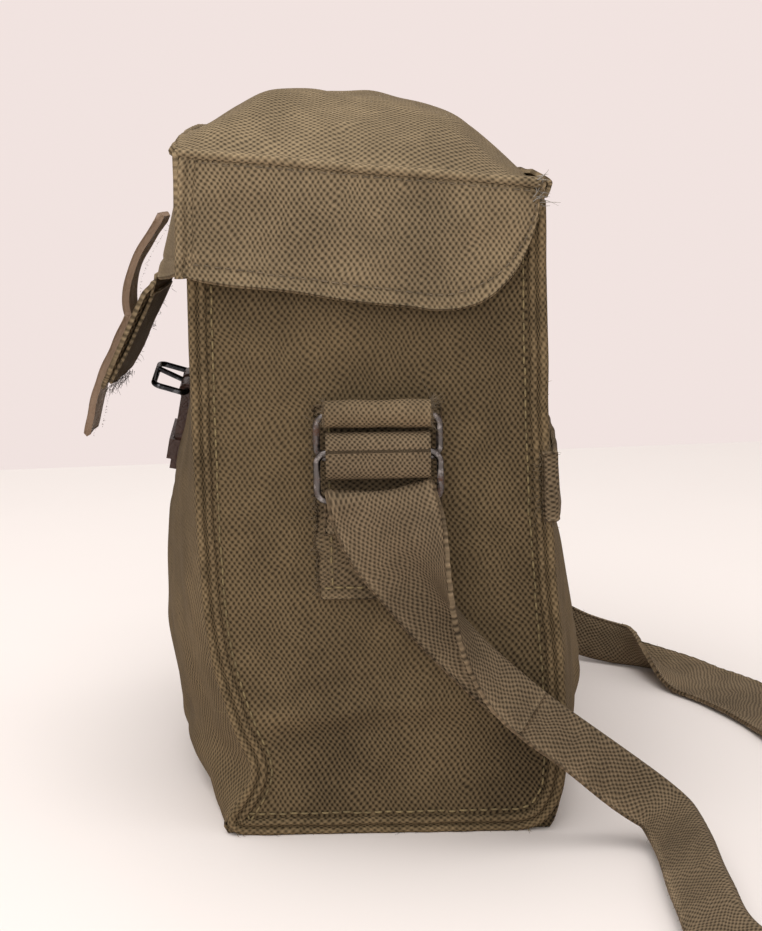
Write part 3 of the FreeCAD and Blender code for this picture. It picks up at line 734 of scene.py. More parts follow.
class BAG_OT_strap(StepOperator, bpy.types.Operator):
    """Shoulder strap: one length of webbing, folded lengthwise along most of its run"""
    bl_idname = "bag.strap"
    bl_label = "Strap"

    def build(self, scene):
        thickness = scene.bag_shape.strap_cloth
        line, marks = strap_line()
        steps = np.concatenate([[0], np.cumsum(np.linalg.norm(np.diff(line, axis=0), axis=1))])
        count = int(steps[-1] / 2.0)
        at = np.linspace(0, steps[-1], count)
        middle = np.stack([np.interp(at, steps, line[:, k]) for k in range(3)], 1)
        mark = np.interp(at, steps, marks)
        middle = smoothed(middle, 2)
        tangent = unit(np.gradient(middle, axis=0))
        route_marks = np.arange(len(STRAP_ROUTE))
        width = np.interp(mark, route_marks, [r[3] for r in STRAP_ROUTE])
        across = np.stack([np.interp(mark, route_marks, [r[4][k] for r in STRAP_ROUTE]) for k in range(3)], 1)
        across = smoothed(across, 12)
        side = unit(across - tangent * np.sum(across * tangent, 1)[:, None])
        face = np.cross(side, tangent)
        # which way the fold's ridge points: away from the bag where the strap hangs
        fold = smoothed(((STRAP_WIDTH - width) / (STRAP_WIDTH / 2))[:, None], 6)[:, 0]
        turn = fold * math.pi / 2
        ridge = face * np.cos(turn)[:, None] + side * np.sin(turn)[:, None]
        spread = side * np.cos(turn)[:, None] - face * np.sin(turn)[:, None]
        columns = 25
        s = np.linspace(-STRAP_WIDTH / 2, STRAP_WIDTH / 2, columns)
        crease_ = step_up(mark, 2.6, 4.5) * (1 - step_up(mark, 33.0, 35.0)) * (1 - step_up(mark, 19.5, 21.5) * (1 - step_up(mark, 24.5, 26.0)))
        close = np.clip(fold * 1.3, 0, 1) * math.radians(76)
        close = np.maximum(close, crease_ * math.radians(18))
        tight = 2.0 + 3.0 * (1 - fold)
        points = np.empty((count, columns, 3))
        for i in range(count):
            slope = -close[i] * np.tanh(s / tight[i])
            ds = np.gradient(s)
            a = np.cumsum(np.cos(slope) * ds)
            b = np.cumsum(np.sin(slope) * ds)
            a = a - (a[0] + a[-1]) / 2
            b = b - b.mean()
            b = b + 0.35 * math.sin(at[i] / 9.0) * (s / 19.0) ** 2
            points[i] = middle[i] + spread[i] * a[:, None] + ridge[i] * b[:, None]
        points += np.stack([ripple(at[:, None], s[None, :], 46, 70 + k) for k in range(3)], 2) * 0.35
        selvage = np.abs(s) > 16.5
        normal = grid_normals(points)
        braid = 0.35 * np.sin(at * 2 * math.pi / 3.1)[:, None] * selvage[None, :]
        points += normal * (0.25 * selvage[None, :] + braid * 0.5)[..., None]
        lowest = (points - normal * thickness / 2)[..., 2].min(1)
        lowest = np.minimum(lowest, (points + normal * thickness / 2)[..., 2].min(1))
        lift = np.clip(0.5 - lowest, 0, None)
        for _ in range(3):
            lift = np.maximum(lift, np.convolve(np.pad(lift, 4, mode="edge"), np.ones(9) / 9, "valid"))
        points[..., 2] += lift[:, None]
        normal = grid_normals(points)
        cloth = np.stack(np.meshgrid(s, at), -1)
        tone_and_shade = np.tile(np.where(np.abs(s) > 17.0, 0.16, 0.0), (count, 1)) + 0.12 * ripple(at[:, None], s[None, :], 60, 81)
        cuts = [0] + [int(np.argmin(np.abs(mark - c))) for c in STRAP_CUTS] + [count - 1]
        names = ["strap_end_right", "shoulder_strap", "strap_end_left"]
        pieces = {}
        for name, low, high in zip(names, cuts, cuts[1:]):
            part = slice(low, high + 1)
            shifted = points[part] + normal[part] * thickness / 2
            piece = cloth_piece("webbing_" + name, shifted, cloth[part], thickness, tone_and_shade[part], 1.4)
            pieces[name] = dress(piece, "webbing", None, [name], 0.15)
        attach(pieces["shoulder_strap"], "bag")
        for right, sign in (("right", 1), ("left", -1)):
            obj = pieces["strap_end_" + right]
            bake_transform(obj)
        free = middle[cuts[1]:cuts[2] + 1]
        tuple(free[0] * MM)
        (free[::3] * MM).tolist()
        # fibres standing off the selvages
        rng = np.random.default_rng(12)
        picks = rng.integers(cuts[0] + 10, cuts[3] - 10, 260)
        ends = rng.choice([0, columns - 1], 260)
        roots = points[picks, ends]
        out = unit(points[picks, ends] - points[picks, columns // 2])
        keep = (picks > cuts[1]) & (picks < cuts[2])
        fibres = threads("strap_fibres", roots[keep], out[keep], 1.7, 0.09, 13)
        dress(fibres, "cloth_thread", "bag", floor=0.1)


# ---------------------------------------------------------------- body

def front_face(x, z):
    edge = along([r[0] for r in FRONT_ROWS], [r[1] for r in FRONT_ROWS], z)
    middle = along([r[0] for r in FRONT_ROWS], [r[2] for r in FRONT_ROWS], z)
    return edge + (middle - edge) * (1 - (x / HALF_PANEL) ** 2)


def back_face(x, z):
    edge = along([r[0] for r in BACK_ROWS], [r[1] for r in BACK_ROWS], z)
    middle = along([r[0] for r in BACK_ROWS], [r[2] for r in BACK_ROWS], z)
    return edge + (middle - edge) * (1 - (x / HALF_PANEL) ** 2)


def panel_grid(width, low, high, columns, rows):
    x = np.linspace(-width, width, columns)
    z = np.linspace(low, high, rows)
    return np.meshgrid(x, z, indexing="ij")


def side_dents(y, z):
    """How far the end panel's cloth stands in or out, in millimetres."""
    flat = 1 - np.exp(-(((y + 2.8) / 30) ** 4 + ((z - 127) / 42) ** 4)) * 0.85
    dents = 0.55 * ripple(y, z, 62, 21) + 0.25 * ripple(y, z, 24, 22)
    fold = 1.5 * crease(y, z, (-52, 44), (30, 52), 5.0) - 1.2 * crease(y, z, (-48, 36), (28, 43), 6.0)
    fold = fold + 0.9 * crease(y, z, (20, 50), (62, 40), 5.0)
    low = -1.6 * hump(z, 24, 14) * hump(y, -12, 46) + 1.0 * crease(y, z, (-10, 6), (-4, 44), 6)
    high = -1.2 * hump(z, 176, 18) * hump(y, -30, 22) + 1.0 * crease(y, z, (-60, 196), (-20, 160), 8)
    return (dents + high) * flat + fold + low


def side_outline():
    """The end panel's edge from its front top, round the foot, to its rear top, as y and z."""
    z = np.linspace(BODY_TOP_FRONT - 1, 7.0, 130)
    front = np.stack([along([r[0] for r in FRONT_ROWS], [r[1] for r in FRONT_ROWS], z), z], 1)
    z = np.linspace(13.0, BODY_TOP_REAR - 1, 120)
    rear = np.stack([along([r[0] for r in BACK_ROWS], [r[1] for r in BACK_ROWS], z), z], 1)
    foot = np.array([(-62.0, 3.0), (-57.5, 0.4), (-40, 0.3), (0.0, 0.2), (40.0, 0.3), (50.0, 0.5), (57.5, 3.4)])
    path = resample(np.concatenate([front, foot, rear]), 1.8)
    return smoothed(path, 3)


class BAG_OT_body(StepOperator, bpy.types.Operator):
    """Body: front, back, bottom and end panels that sag and crease, with a raised seam round each end"""
    bl_idname = "bag.body"
    bl_label = "Body"

    def build(self, scene):
        cloth = scene.bag_shape.canvas
        deep = scene.bag_shape.wrinkle

        x, z = panel_grid(HALF_PANEL + 1.2, 0.4, 247.0, 116, 126)
        hold = 1 - np.abs(x / (HALF_PANEL + 1.2)) ** 6
        y = front_face(x, z) - hold * deep * (0.5 * ripple(x, z, 70, 31) + 0.3 * ripple(x, z, 26, 32))
        y -= hold * deep * 1.6 * (crease(x, z, (-100, 40), (20, 62), 8) - crease(x, z, (20, 20), (100, 50), 8))
        y += 0.8 * hump(z, 120, 4) * hold
        # painted shade: the whole front is a little darker, and darker still under the lid's front flap from 205 mm up;
        # it is slightly lighter about 60 mm up, and the rest is random tone
        tone_and_shade = 0.14 * ripple(x, z, 80, 33) - 0.1 + 0.06 * hump(z, 60, 30) - 0.25 * step_up(z, 205, 240)
        piece = cloth_piece("front_canvas", np.stack([x, y, z], -1), np.stack([x, z], -1), cloth, tone_and_shade)
        dress(piece, "body_canvas", "bag", ["front_panel"], 0.1)

        x, z = panel_grid(HALF_PANEL + 1.2, 0.4, 239.0, 116, 122)
        hold = 1 - np.abs(x / (HALF_PANEL + 1.2)) ** 6
        y = back_face(x, z) + hold * deep * (0.45 * ripple(x, z, 75, 34) + 0.3 * ripple(x, z, 28, 35))
        y += hold * deep * 1.2 * crease(x, z, (-95, 60), (60, 36), 7)
        y -= 0.9 * hold * hump(z, 132, 16)
        tone_and_shade = 0.14 * ripple(x, z, 80, 36) + 0.1 * hump(z, 70, 30)
        piece = cloth_piece("back_canvas", np.stack([x, y, z], -1), np.stack([x, z], -1), cloth, tone_and_shade, flip=True)
        dress(piece, "body_canvas", "bag", ["back_panel"], 0.1)

        x, share = np.meshgrid(np.linspace(-HALF_PANEL - 1, HALF_PANEL + 1, 80), np.linspace(0, 1, 44), indexing="ij")
        y = front_face(x, 1.0) * (1 - share) + back_face(x, 1.0) * share
        lift = 0.25 + 1.1 * np.clip(1 - 5 * np.minimum(share, 1 - share), 0, 1) ** 2
        piece = cloth_piece("bottom_canvas", np.stack([x, y, lift + 0.12 * ripple(x, y, 50, 37)], -1), np.stack([x, y], -1), 1.6, flip=True)
        dress(piece, "body_canvas", "bag", ["bottom_panel"], 0.0)

        outline = side_outline()
        for side, sign in (("right", 1), ("left", -1)):
            share, height = np.meshgrid(np.linspace(0, 1, 84), np.linspace(0, 1, 126), indexing="ij")
            top = (BODY_TOP_FRONT) * (1 - share) + BODY_TOP_REAR * share
            z = 0.6 + (top - 0.6) * height
            front = along([r[0] for r in FRONT_ROWS], [r[1] for r in FRONT_ROWS], z)
            rear = along([r[0] for r in BACK_ROWS], [r[1] for r in BACK_ROWS], z)
            y = front * (1 - share) + rear * share
            hold = np.clip(8 * np.minimum(share, 1 - share), 0, 1) * np.clip(14 * height, 0, 1)
            x = SIDE_X - 0.1 + side_dents(y * sign, z) * hold
            # painted light and shade on the end panel: darker towards the rear and the foot, lighter near the top, a
            # painted highlight along the crease ridge at 46 to 50 mm, painted shade under the lid's end flap from 186
            # mm up, and darker in a patch about 170 mm up; the rest is random tone
            tone_and_shade = 0.16 * ripple(y, z, 90, 41) - 0.34 * step_up(y, 15, 55) - 0.42 * (1 - step_up(z, 25, 90)) * step_up(y, -50, -20) + 0.3 * np.exp(-(((y + 20) / 40) ** 2 + ((z - 190) / 22) ** 2))
            tone_and_shade += 0.3 * np.exp(-(((y + 38) / 16) ** 2 + ((z - 46) / 3.5) ** 2)) + 0.12 * hump(z, 50, 2.2) * step_up(y, -40, -20)
            tone_and_shade -= 0.3 * step_up(z, 186, 204) + 0.18 * np.exp(-(((y + 1) / 28) ** 4 + ((z - 170) / 12) ** 2))
            points = np.stack([x * sign, y, z], -1)
            piece = cloth_piece("side_canvas_" + side, points, np.stack([y, z], -1), cloth, tone_and_shade, flip=sign < 0)
            dress(piece, "body_canvas", "bag", ["side_panel_" + side], 0.1)

            tangent = unit(np.gradient(outline, axis=0))
            inward = np.stack([np.zeros(len(outline)), -tangent[:, 1], tangent[:, 0]], 1)
            out = np.tile([float(sign), 0, 0], (len(outline), 1))
            path = np.stack([np.full(len(outline), SIDE_X * sign), outline[:, 0], outline[:, 1]], 1)
            profile = [(-0.7, -1.5), (-0.9, 0.6), (-0.3, 1.9), (0.7, 2.5), (1.7, 2.2), (2.3, 1.1), (2.6, 0.5),
                       (3.0, 1.0), (3.6, 1.9), (4.5, 2.1), (5.3, 1.4), (5.8, 0.2), (5.9, -1.5)]
            if sign < 0:
                profile = profile[::-1]
            # painted shade: the seam welt is darker towards its foot, near the table
            welt = swept("seam_welt_" + side, path, inward, out, profile, 0.11, 51, tone_and_shade=-0.12 * hump(outline[:, 1], 10, 8))
            dress(welt, "body_canvas", "bag", ["side_welt_" + side], 0.05)

            inset = path + inward * 7.6 + out * 0.25
            part = slice(8, len(inset) - 8)
            row = stitches("seam_stitches_" + side, [(inset[part], out[part])], seed=61)
            dress(row, "stitch_thread", "bag")
            rng = np.random.default_rng(62)
            spots = np.concatenate([rng.normal(136, 3, 14), rng.normal(200, 4, 16), rng.integers(5, len(path) - 5, 40)]).astype(int) % len(path)
            tufts = threads("seam_tufts_" + side, path[spots] + out[spots] * 1.8, out[spots] - inward[spots] * 0.5, 2.4, 0.12, 63)
            dress(tufts, "stitch_thread", "bag", floor=0.1)


class BAG_OT_back_band(StepOperator, bpy.types.Operator):
    """Webbing band across the back, with frayed ends that wrap the rear corners"""
    bl_idname = "bag.back_band"
    bl_label = "Back band"

    def build(self, scene):
        s, z = np.meshgrid(np.linspace(-118, 118, 150), np.linspace(119.5, 144.5, 16), indexing="ij")
        lap = np.clip(np.abs(s) - 112.5, 0, None)
        x = np.clip(s, -113.6, 113.6) + np.sign(s) * np.minimum(lap, 2.4) * 0.75
        y = back_face(np.clip(x, -HALF_PANEL, HALF_PANEL), z) + 2.0 - np.clip(lap - 1.4, 0, None) * 0.95
        y = y + 0.25 * ripple(s, z, 30, 91)
        tone_and_shade = 0.12 * ripple(s, z, 40, 92)
        piece = cloth_piece("back_webbing", np.stack([x, y, z], -1), np.stack([z, s], -1), 1.7, tone_and_shade, 1.2)
        dress(piece, "webbing", "bag", ["back_band"])
        rng = np.random.default_rng(93)
        roots, ways = [], []
        for sign in (1, -1):
            for height in np.linspace(119.5, 144.5, 60):
                roots.append((sign * (115.2 + rng.uniform(-0.4, 0.4)), 56.6 + rng.uniform(-1, 1), height))
                ways.append((sign * 0.5, -1.0, rng.normal(0, 0.4)))
            for height in list(rng.normal(120, 0.7, 14)) + list(rng.normal(144, 0.7, 14)):
                roots.append((sign * 115.4, rng.uniform(57, 61), height))
                ways.append((sign * 0.6, 0.3, -1.0 if height < 130 else 1.0))
        frays = threads("band_frays", roots, ways, 3.4, 0.14, 94)
        dress(frays, "cloth_thread", "bag")
        rows = []
        for height in (122.3, 141.7):
            s = np.linspace(-108, 108, 120)
            line = np.stack([s, back_face(s, height) + 2.3, np.full_like(s, height)], 1)
            rows.append((line, np.tile([0.0, 1.0, 0.0], (len(line), 1))))
        dress(stitches("band_stitches", rows, seed=95), "stitch_thread", "bag")


# ---------------------------------------------------------------- lid

def lid_edge(y):
    return FLAP_TOP + (y - LID_FRONT) * (HINGE[1] - FLAP_TOP) / (LID_REAR - LID_FRONT)


def lid_height(x, y):
    rise = along(DOME_Y, DOME_RISE, y)
    share = 1 - np.abs(x / 118.0) ** 4
    z = lid_edge(y) + rise * share
    z = z + 2.6 * crease(x, y, (112, -66), (40, -22), 11) + 1.6 * crease(x, y, (104, 40), (50, -10), 12)
    z = z - 3.2 * crease(x, y, (-114, -62), (-50, -40), 9) - 1.8 * crease(x, y, (60, -70), (20, -34), 9)
    z = z + 2.2 * crease(x, y, (-112, -30), (-50, -4), 10)
    z = z + (0.9 * ripple(x, y, 58, 101) + 0.35 * ripple(x, y, 22, 102)) * np.clip(share * 3, 0, 1)
    return z


def flap_low(y):
    """Lower edge of the lid's end flap, straight and then round its rear corner."""
    (ay, az), (by, bz), (cy, cz) = FLAP_CORNER
    straight = FLAP_LOW + (y - LID_FRONT) * (az - FLAP_LOW) / (ay - LID_FRONT)
    share = np.clip((y - ay) / (cy - ay), 0, 1)
    round_ = az + (cz - az) * (1 - np.sqrt(np.clip(1 - share**2.5, 0, 1)))
    return np.where(y < ay, straight, round_)


def flap_bulge(y, z):
    depth = np.clip((lid_edge(y) - z) / 50, 0, 1)
    wave = 0.9 * ripple(y, z, 46, 111) + 0.4 * ripple(y, z, 20, 112)
    dents = -1.1 * crease(y, z, (-60, 226), (-30, 240), 7) + 0.9 * crease(y, z, (-20, 206), (40, 236), 9)
    return (wave + dents) * np.minimum(depth * 3, 1) * 0.8 + 1.6 * depth**2 + 0.4


class BAG_OT_lid(StepOperator, bpy.types.Operator):
    """Domed lid: top, end flaps, front flap, welted corners and the cloth fold it turns on"""
    bl_idname = "bag.lid"
    bl_label = "Lid"

    def build(self, scene):
        cloth = scene.bag_shape.canvas
        k = scene.bag_shape.lid_wrinkle / 1.5
        x, y = np.meshgrid(np.linspace(-118.6, 118.6, 120), np.linspace(LID_FRONT - 1.5, LID_REAR, 76), indexing="ij")
        z = lid_height(np.clip(x, -118, 118), y)
        # painted light and shade on the lid: lighter over the dome's crown, painted shade in the two dents pressed in
        # by lid_height and along the rear edge by the fold; the rest is random tone
        tone_and_shade = 0.1 * ripple(x, y, 60, 103) + 0.1 * hump(y, -10, 40) - 0.3 * crease(x, y, (-114, -62), (-50, -40), 9)
        tone_and_shade = tone_and_shade - 0.25 * step_up(y, 50, 59) - 0.18 * crease(x, y, (60, -70), (20, -34), 9)
        piece = cloth_piece("lid_dome", np.stack([x, y, z], -1), np.stack([x, y], -1), cloth, tone_and_shade, 1.5)
        dress(piece, "lid_canvas", "lid", ["lid_top"])

        rows = []
        roots, ways = [], []
        rng = np.random.default_rng(121)
        for side, sign in (("right", 1), ("left", -1)):
            s = np.linspace(0, 1, 84)
            run = LID_FRONT + (LID_REAR - LID_FRONT) * np.sin(s * math.pi / 2) ** 0.75
            y, down = np.meshgrid(run, np.linspace(0, 1, 40), indexing="ij")
            top = lid_edge(y) + 0.4
            low = flap_low(y) + 0.35 * np.sin(y / 7.0)
            z = top + (low - top) * down
            from_edge = (z - low) + 0.01
            hem = 0.5 * (1 - step_up(from_edge, 3.0, 5.0)) - 0.45 * hump(from_edge, 5.2, 0.8)
            x = FLAP_X + 0.6 + k * flap_bulge(y * sign, z) + hem - 1.2 * hump(z, top, 2.5)
            x = x - 1.0 * hump(y, LID_FRONT, 4) - 1.4 * hump(y, LID_REAR, 6)
            # painted shade in the seam groove along the flap's top edge and in the hem groove 5.2 mm above its lower
            # edge; the flap is also lighter towards the rear, and the rest is random tone
            tone_and_shade = 0.12 * ripple(y, z, 50, 113) + 0.16 * step_up(y, 20, 50) - 0.5 * hump(z, top, 1.6) - 0.25 * hump(from_edge, 5.2, 0.8)
            points = np.stack([x * sign, y, z], -1)
            piece = cloth_piece("lid_end_" + side, points, np.stack([y, z], -1), cloth, tone_and_shade, 1.6, flip=sign > 0)
            dress(piece, "lid_canvas", "lid", ["lid_side_flap_" + side])
            edge_y = np.linspace(LID_FRONT + 4, 56, 120)
            low_line = flap_low(edge_y) + 5.2
            surface = FLAP_X + 0.75 + k * flap_bulge(edge_y * sign, low_line) - 0.25
            keep = low_line < lid_edge(edge_y) - 4
            rows.append((np.stack([surface * sign, edge_y, low_line], 1)[keep], np.tile([float(sign), 0, 0], (keep.sum(), 1))))
            seam_z = lid_edge(edge_y) - 3.2
            surface = FLAP_X + 0.5 + k * flap_bulge(edge_y * sign, seam_z) * 0.8
            rows.append((np.stack([surface * sign, edge_y, seam_z], 1), np.tile([float(sign), 0, 0], (len(edge_y), 1))))

            seam = resample(np.stack([np.full(60, FLAP_X * sign), np.linspace(LID_FRONT - 1, LID_REAR, 60), lid_edge(np.linspace(LID_FRONT - 1, LID_REAR, 60))], 1), 2.0)
            out = unit(np.tile([sign * 1.0, 0, 0.7], (len(seam), 1)))
            across = unit(np.tile([sign * -0.7, 0, 1.0], (len(seam), 1)))
            profile = [(-2.0, -1.6), (-2.1, 0.2), (-1.4, 1.2), (-0.3, 1.5), (0.9, 1.2), (1.8, 0.4), (2.0, -1.6)]
            if sign > 0:
                profile = profile[::-1]
            ridge = swept("lid_seam_" + side, seam, across, out, profile, 0.13, 131, tone_and_shade=np.zeros(len(seam)))
            dress(ridge, "lid_canvas", "lid")

            post = resample(np.array([(FLAP_X * sign, LID_FRONT + 0.4, 210.4), (FLAP_X * sign, LID_FRONT + 1.0, 235.0), (FLAP_X * sign, LID_FRONT + 2.6, 252.0), ((FLAP_X - 1) * sign, LID_FRONT + 4.0, 256.0)]), 1.6)
            post = smoothed(post, 4)
            out = np.tile([float(sign), 0, 0], (len(post), 1))
            forward = np.tile([0.0, 1.0, 0.0], (len(post), 1))
            profile = [(-3.0, -2.2), (-3.2, 0.4), (-2.4, 1.9), (-1.2, 2.3), (0.0, 1.7), (0.6, 0.7), (1.2, 1.1), (2.2, 1.8), (3.2, 1.4), (3.8, 0.2), (3.8, -2.2)]
            if sign < 0:
                profile = profile[::-1]
            welt = swept("lid_corner_" + side, post, forward, out, profile, 0.12, 141, tone_and_shade=np.zeros(len(post)))
            dress(welt, "lid_canvas", "lid", ["lid_corner_welt_" + side])
            for _ in range(26):
                roots.append((sign * (FLAP_X + rng.uniform(-1.5, 1.5)), LID_REAR + rng.uniform(-3, 0.5), HINGE[1] + rng.uniform(-9, 3)))
                ways.append((sign * 0.4, 1.0, rng.uniform(-0.4, 0.8)))
        dress(stitches("lid_stitches", rows, 2.6, 1.2, 0.26, seed=122), "cloth_thread", "lid")
        dress(threads("lid_frays", roots, ways, 3.8, 0.2, 123, 1.2), "pale_thread", "lid")

        x, share = np.meshgrid(np.linspace(-119.4, 119.4, 110), np.linspace(0, 1, 40), indexing="ij")
        bulge = 1 - (x / 119.4) ** 2
        bow = along([0, 1 / 3, 2 / 3, 1], [0, -6, -12, -17], share) * bulge
        top = FLAP_TOP + 9.0 * bulge - 0.5
        low = FLAP_LOW + 1.4 - 7.0 * bulge
        z = top + (low - top) * share
        hem = -0.45 * (1 - step_up((1 - share) * 46, 4, 6)) + 0.5 * hump((1 - share) * 46, 6, 0.9)
        y = LID_FRONT - 2.0 + bow + hem + k * 0.7 * ripple(x, z, 52, 124) * np.minimum(share * 4, 1) * np.clip(bulge * 3, 0, 1)
        tone_and_shade = 0.12 * ripple(x, z, 60, 125)
        piece = cloth_piece("lid_front", np.stack([x, y, z], -1), np.stack([x, z], -1), cloth, tone_and_shade, 1.6, flip=True)
        dress(piece, "lid_canvas", "lid", ["lid_front_flap"])
        line_x = np.linspace(-116, 116, 120)
        seam = np.stack([line_x, np.full(120, LID_FRONT - 1.8), FLAP_TOP + 9.0 * (1 - (line_x / 119.4) ** 2) + 0.2], 1)
        out = unit(np.tile([0.0, -1.0, 0.8], (120, 1)))
        across = unit(np.tile([0.0, 0.8, 1.0], (120, 1)))
        profile = [(-2.0, -1.6), (-2.1, 0.2), (-1.2, 1.3), (0.2, 1.5), (1.4, 1.0), (2.0, -1.6)]
        dress(swept("lid_front_seam", seam, across, out, profile, 0.13, 151, tone_and_shade=np.zeros(120)), "lid_canvas", "lid")

        # the cloth fold that the lid turns on
        x, share = np.meshgrid(np.linspace(-112, 112, 90), np.linspace(0, 1, 16), indexing="ij")
        low_y, low_z = 59.2, 236.0
        path_y = along([0, 0.35, 0.7, 1], [low_y, 60.6, 60.4, 54.0], share)
        path_z = along([0, 0.35, 0.7, 1], [low_z, 239.4, 242.6, 246.4], share) + 0.3 * ripple(x, share * 12, 40, 161)
        # painted shade: the fold cloth at the rear hinge is darker all over
        fold = cloth_piece("lid_fold_cloth", np.stack([x, path_y, path_z], -1), np.stack([x, share * 14], -1), 1.6, np.zeros_like(x) - 0.1, 1.2, flip=True)
        dress(fold, "lid_canvas")
        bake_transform(fold)


# ---------------------------------------------------------------- closure

def tongue_at(down, out):
    angle = math.radians(TONGUE_ANGLE)
    y = TONGUE_FOLD[0] - down * math.sin(angle) - out * math.cos(angle)
    z = TONGUE_FOLD[1] - down * math.cos(angle) + out * math.sin(angle)
    return y, z


class BAG_OT_closure(StepOperator, bpy.types.Operator):
    """Canvas tongue with its backing, and the leather billet that bows off the lid and lies on it"""
    bl_idname = "bag.closure"
    bl_label = "Closing tongue and billet"

    def build(self, scene):
        width, length = TONGUE_SIZE
        s, down = np.meshgrid(np.linspace(-1, 1, 60), np.linspace(-0.5, length, 46), indexing="ij")
        corner = 1 - 0.16 * step_up(down, length - 12, length) ** 2
        x = s * width / 2 * corner
        edge = np.minimum(width / 2 * (1 - np.abs(s)), length - down)
        ridge = 0.7 * (1 - step_up(edge, 2.2, 4.0)) - 0.6 * hump(edge, 4.4, 0.9)
        y, z = tongue_at(down, 0.2 + 0.8 * step_up(down, 0, 5) + ridge * step_up(down, 1, 6) + 0.7 * ripple(x, down, 34, 171) * step_up(down, 4, 16))
        sag = -1.5 * (s**2) * step_up(down, 6, 30)
        piece = cloth_piece("tongue_canvas", np.stack([x, y - sag * 0.4, z], -1), np.stack([x, down], -1), 1.9, 0.1 * ripple(x, down, 30, 172) - 0.1, 1.6)
        dress(piece, "lid_canvas", "tongue", ["closing_tongue"])
        s, down = np.meshgrid(np.linspace(-1, 1, 50), np.linspace(3.5, 44.5, 36), indexing="ij")
        x = s * 32
        y, z = tongue_at(down, -1.35 + 0.25 * ripple(x, down, 22, 173))
        # painted shade: the backing on the tongue's bag-facing side is darker all over
        piece = cloth_piece("tongue_lining", np.stack([x, y, z], -1), np.stack([x, down], -1), 1.4, np.full_like(x, -0.35), 1.6)
        dress(piece, "lid_canvas", "tongue", ["tongue_backing"])
        x, share = np.meshgrid(np.linspace(-34.5, 34.5, 40), np.linspace(0, 1, 12), indexing="ij")
        y = along([0, 0.5, 1], [-90.6, -91.2, -92.9], share)
        z = along([0, 0.5, 1], [206.4, 202.4, 197.8], share)
        # painted shade: the fold cloth under the lid's front flap is darker all over
        hinge = cloth_piece("tongue_fold_cloth", np.stack([x, y, z], -1), np.stack([x, share * 9], -1), 1.0, np.zeros_like(x) - 0.15, 1.2)
        dress(hinge, "lid_canvas")
        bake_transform(hinge)
        rng = np.random.default_rng(174)
        roots, ways = [], []
        for _ in range(170):
            x = rng.uniform(-34, 34)
            y, z = tongue_at(length - rng.uniform(0, 2.0), rng.uniform(-2.5, 0.5))
            roots.append((x, y, z))
            ways.append((rng.normal(0, 0.5), -0.3, -1.0))
        for sign in (1, -1):
            for _ in range(50):
                y, z = tongue_at(rng.uniform(6, 46), rng.uniform(-2.0, 0.5))
                roots.append((sign * 35.0, y, z))
                ways.append((sign, 0.2, -0.3))
        dress(threads("tongue_frays", roots, ways, 2.3, 0.12, 175), "dark_thread", "tongue")

        thick = scene.bag_shape.leather_cloth
        path = [tuple(p) for p in BOW_PATH]
        out = 1.3 + thick / 2 + 0.7
        for d in (16.0, 24.0, 36.0, 46.0):
            path.append(tongue_at(d, out))
        y, z = path[-1]
        for dy, dz in ((3.6, 11.0), (3.6, 14.0)):
            y, z = y - dy, z - dz
            path.append((y, z))
        line = smoothed(resample(path, 1.3), 14)
        s, index = np.meshgrid(np.linspace(-1, 1, 22), np.arange(len(line)), indexing="ij")
        start = np.array([-88.4, 227.5])
        middle = np.concatenate([start[None, :], line[1:]])
        tangent = unit(np.gradient(middle, axis=0))
        facing = np.stack([-(-tangent[:, 1]), -tangent[:, 0]], 1)
        facing = facing * np.where(facing[:, :1] > 0, -1, 1)
        run = np.concatenate([[0], np.cumsum(np.linalg.norm(np.diff(middle, axis=0), axis=1))])
        crown = 0.35 * (1 - s**2) + 0.25 * ripple(s * 12, run[index], 16, 176)
        y = middle[index, 0] + facing[index, 0] * (thick / 2 + crown)
        z = middle[index, 1] + facing[index, 1] * (thick / 2 + crown)
        end = step_up(run[index], run[-1] - 3, run[-1])
        x = s * (12.0 - 1.2 * end) + 0.3 * np.sin(run[index] / 8.0)
        piece = cloth_piece("leather_billet", np.stack([x, y, z], -1), np.stack([s * 12, run[index]], -1), thick, None, 0.9)
        normals = np.array([v.normal for v in piece.data.vertices])
        if normals[len(line) * 11][1] > 0:
            piece.data.flip_normals()
        dress(piece, "tan_leather", None, ["billet_bow", "closing_billet"])
        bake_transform(piece)
        roots, ways = [], []
        for _ in range(420):
            i = rng.integers(2, len(middle))
            sign = rng.choice([-1, 1])
            roots.append((sign * 11.8, middle[i, 0], middle[i, 1]))
            ways.append((sign, 0, 0))
        fibres = threads("billet_fuzz", roots, ways, 0.9, 0.07, 177)
        dress(fibres, "leather_fuzz")
        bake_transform(fibres)


# ---------------------------------------------------------------- tabs and rings

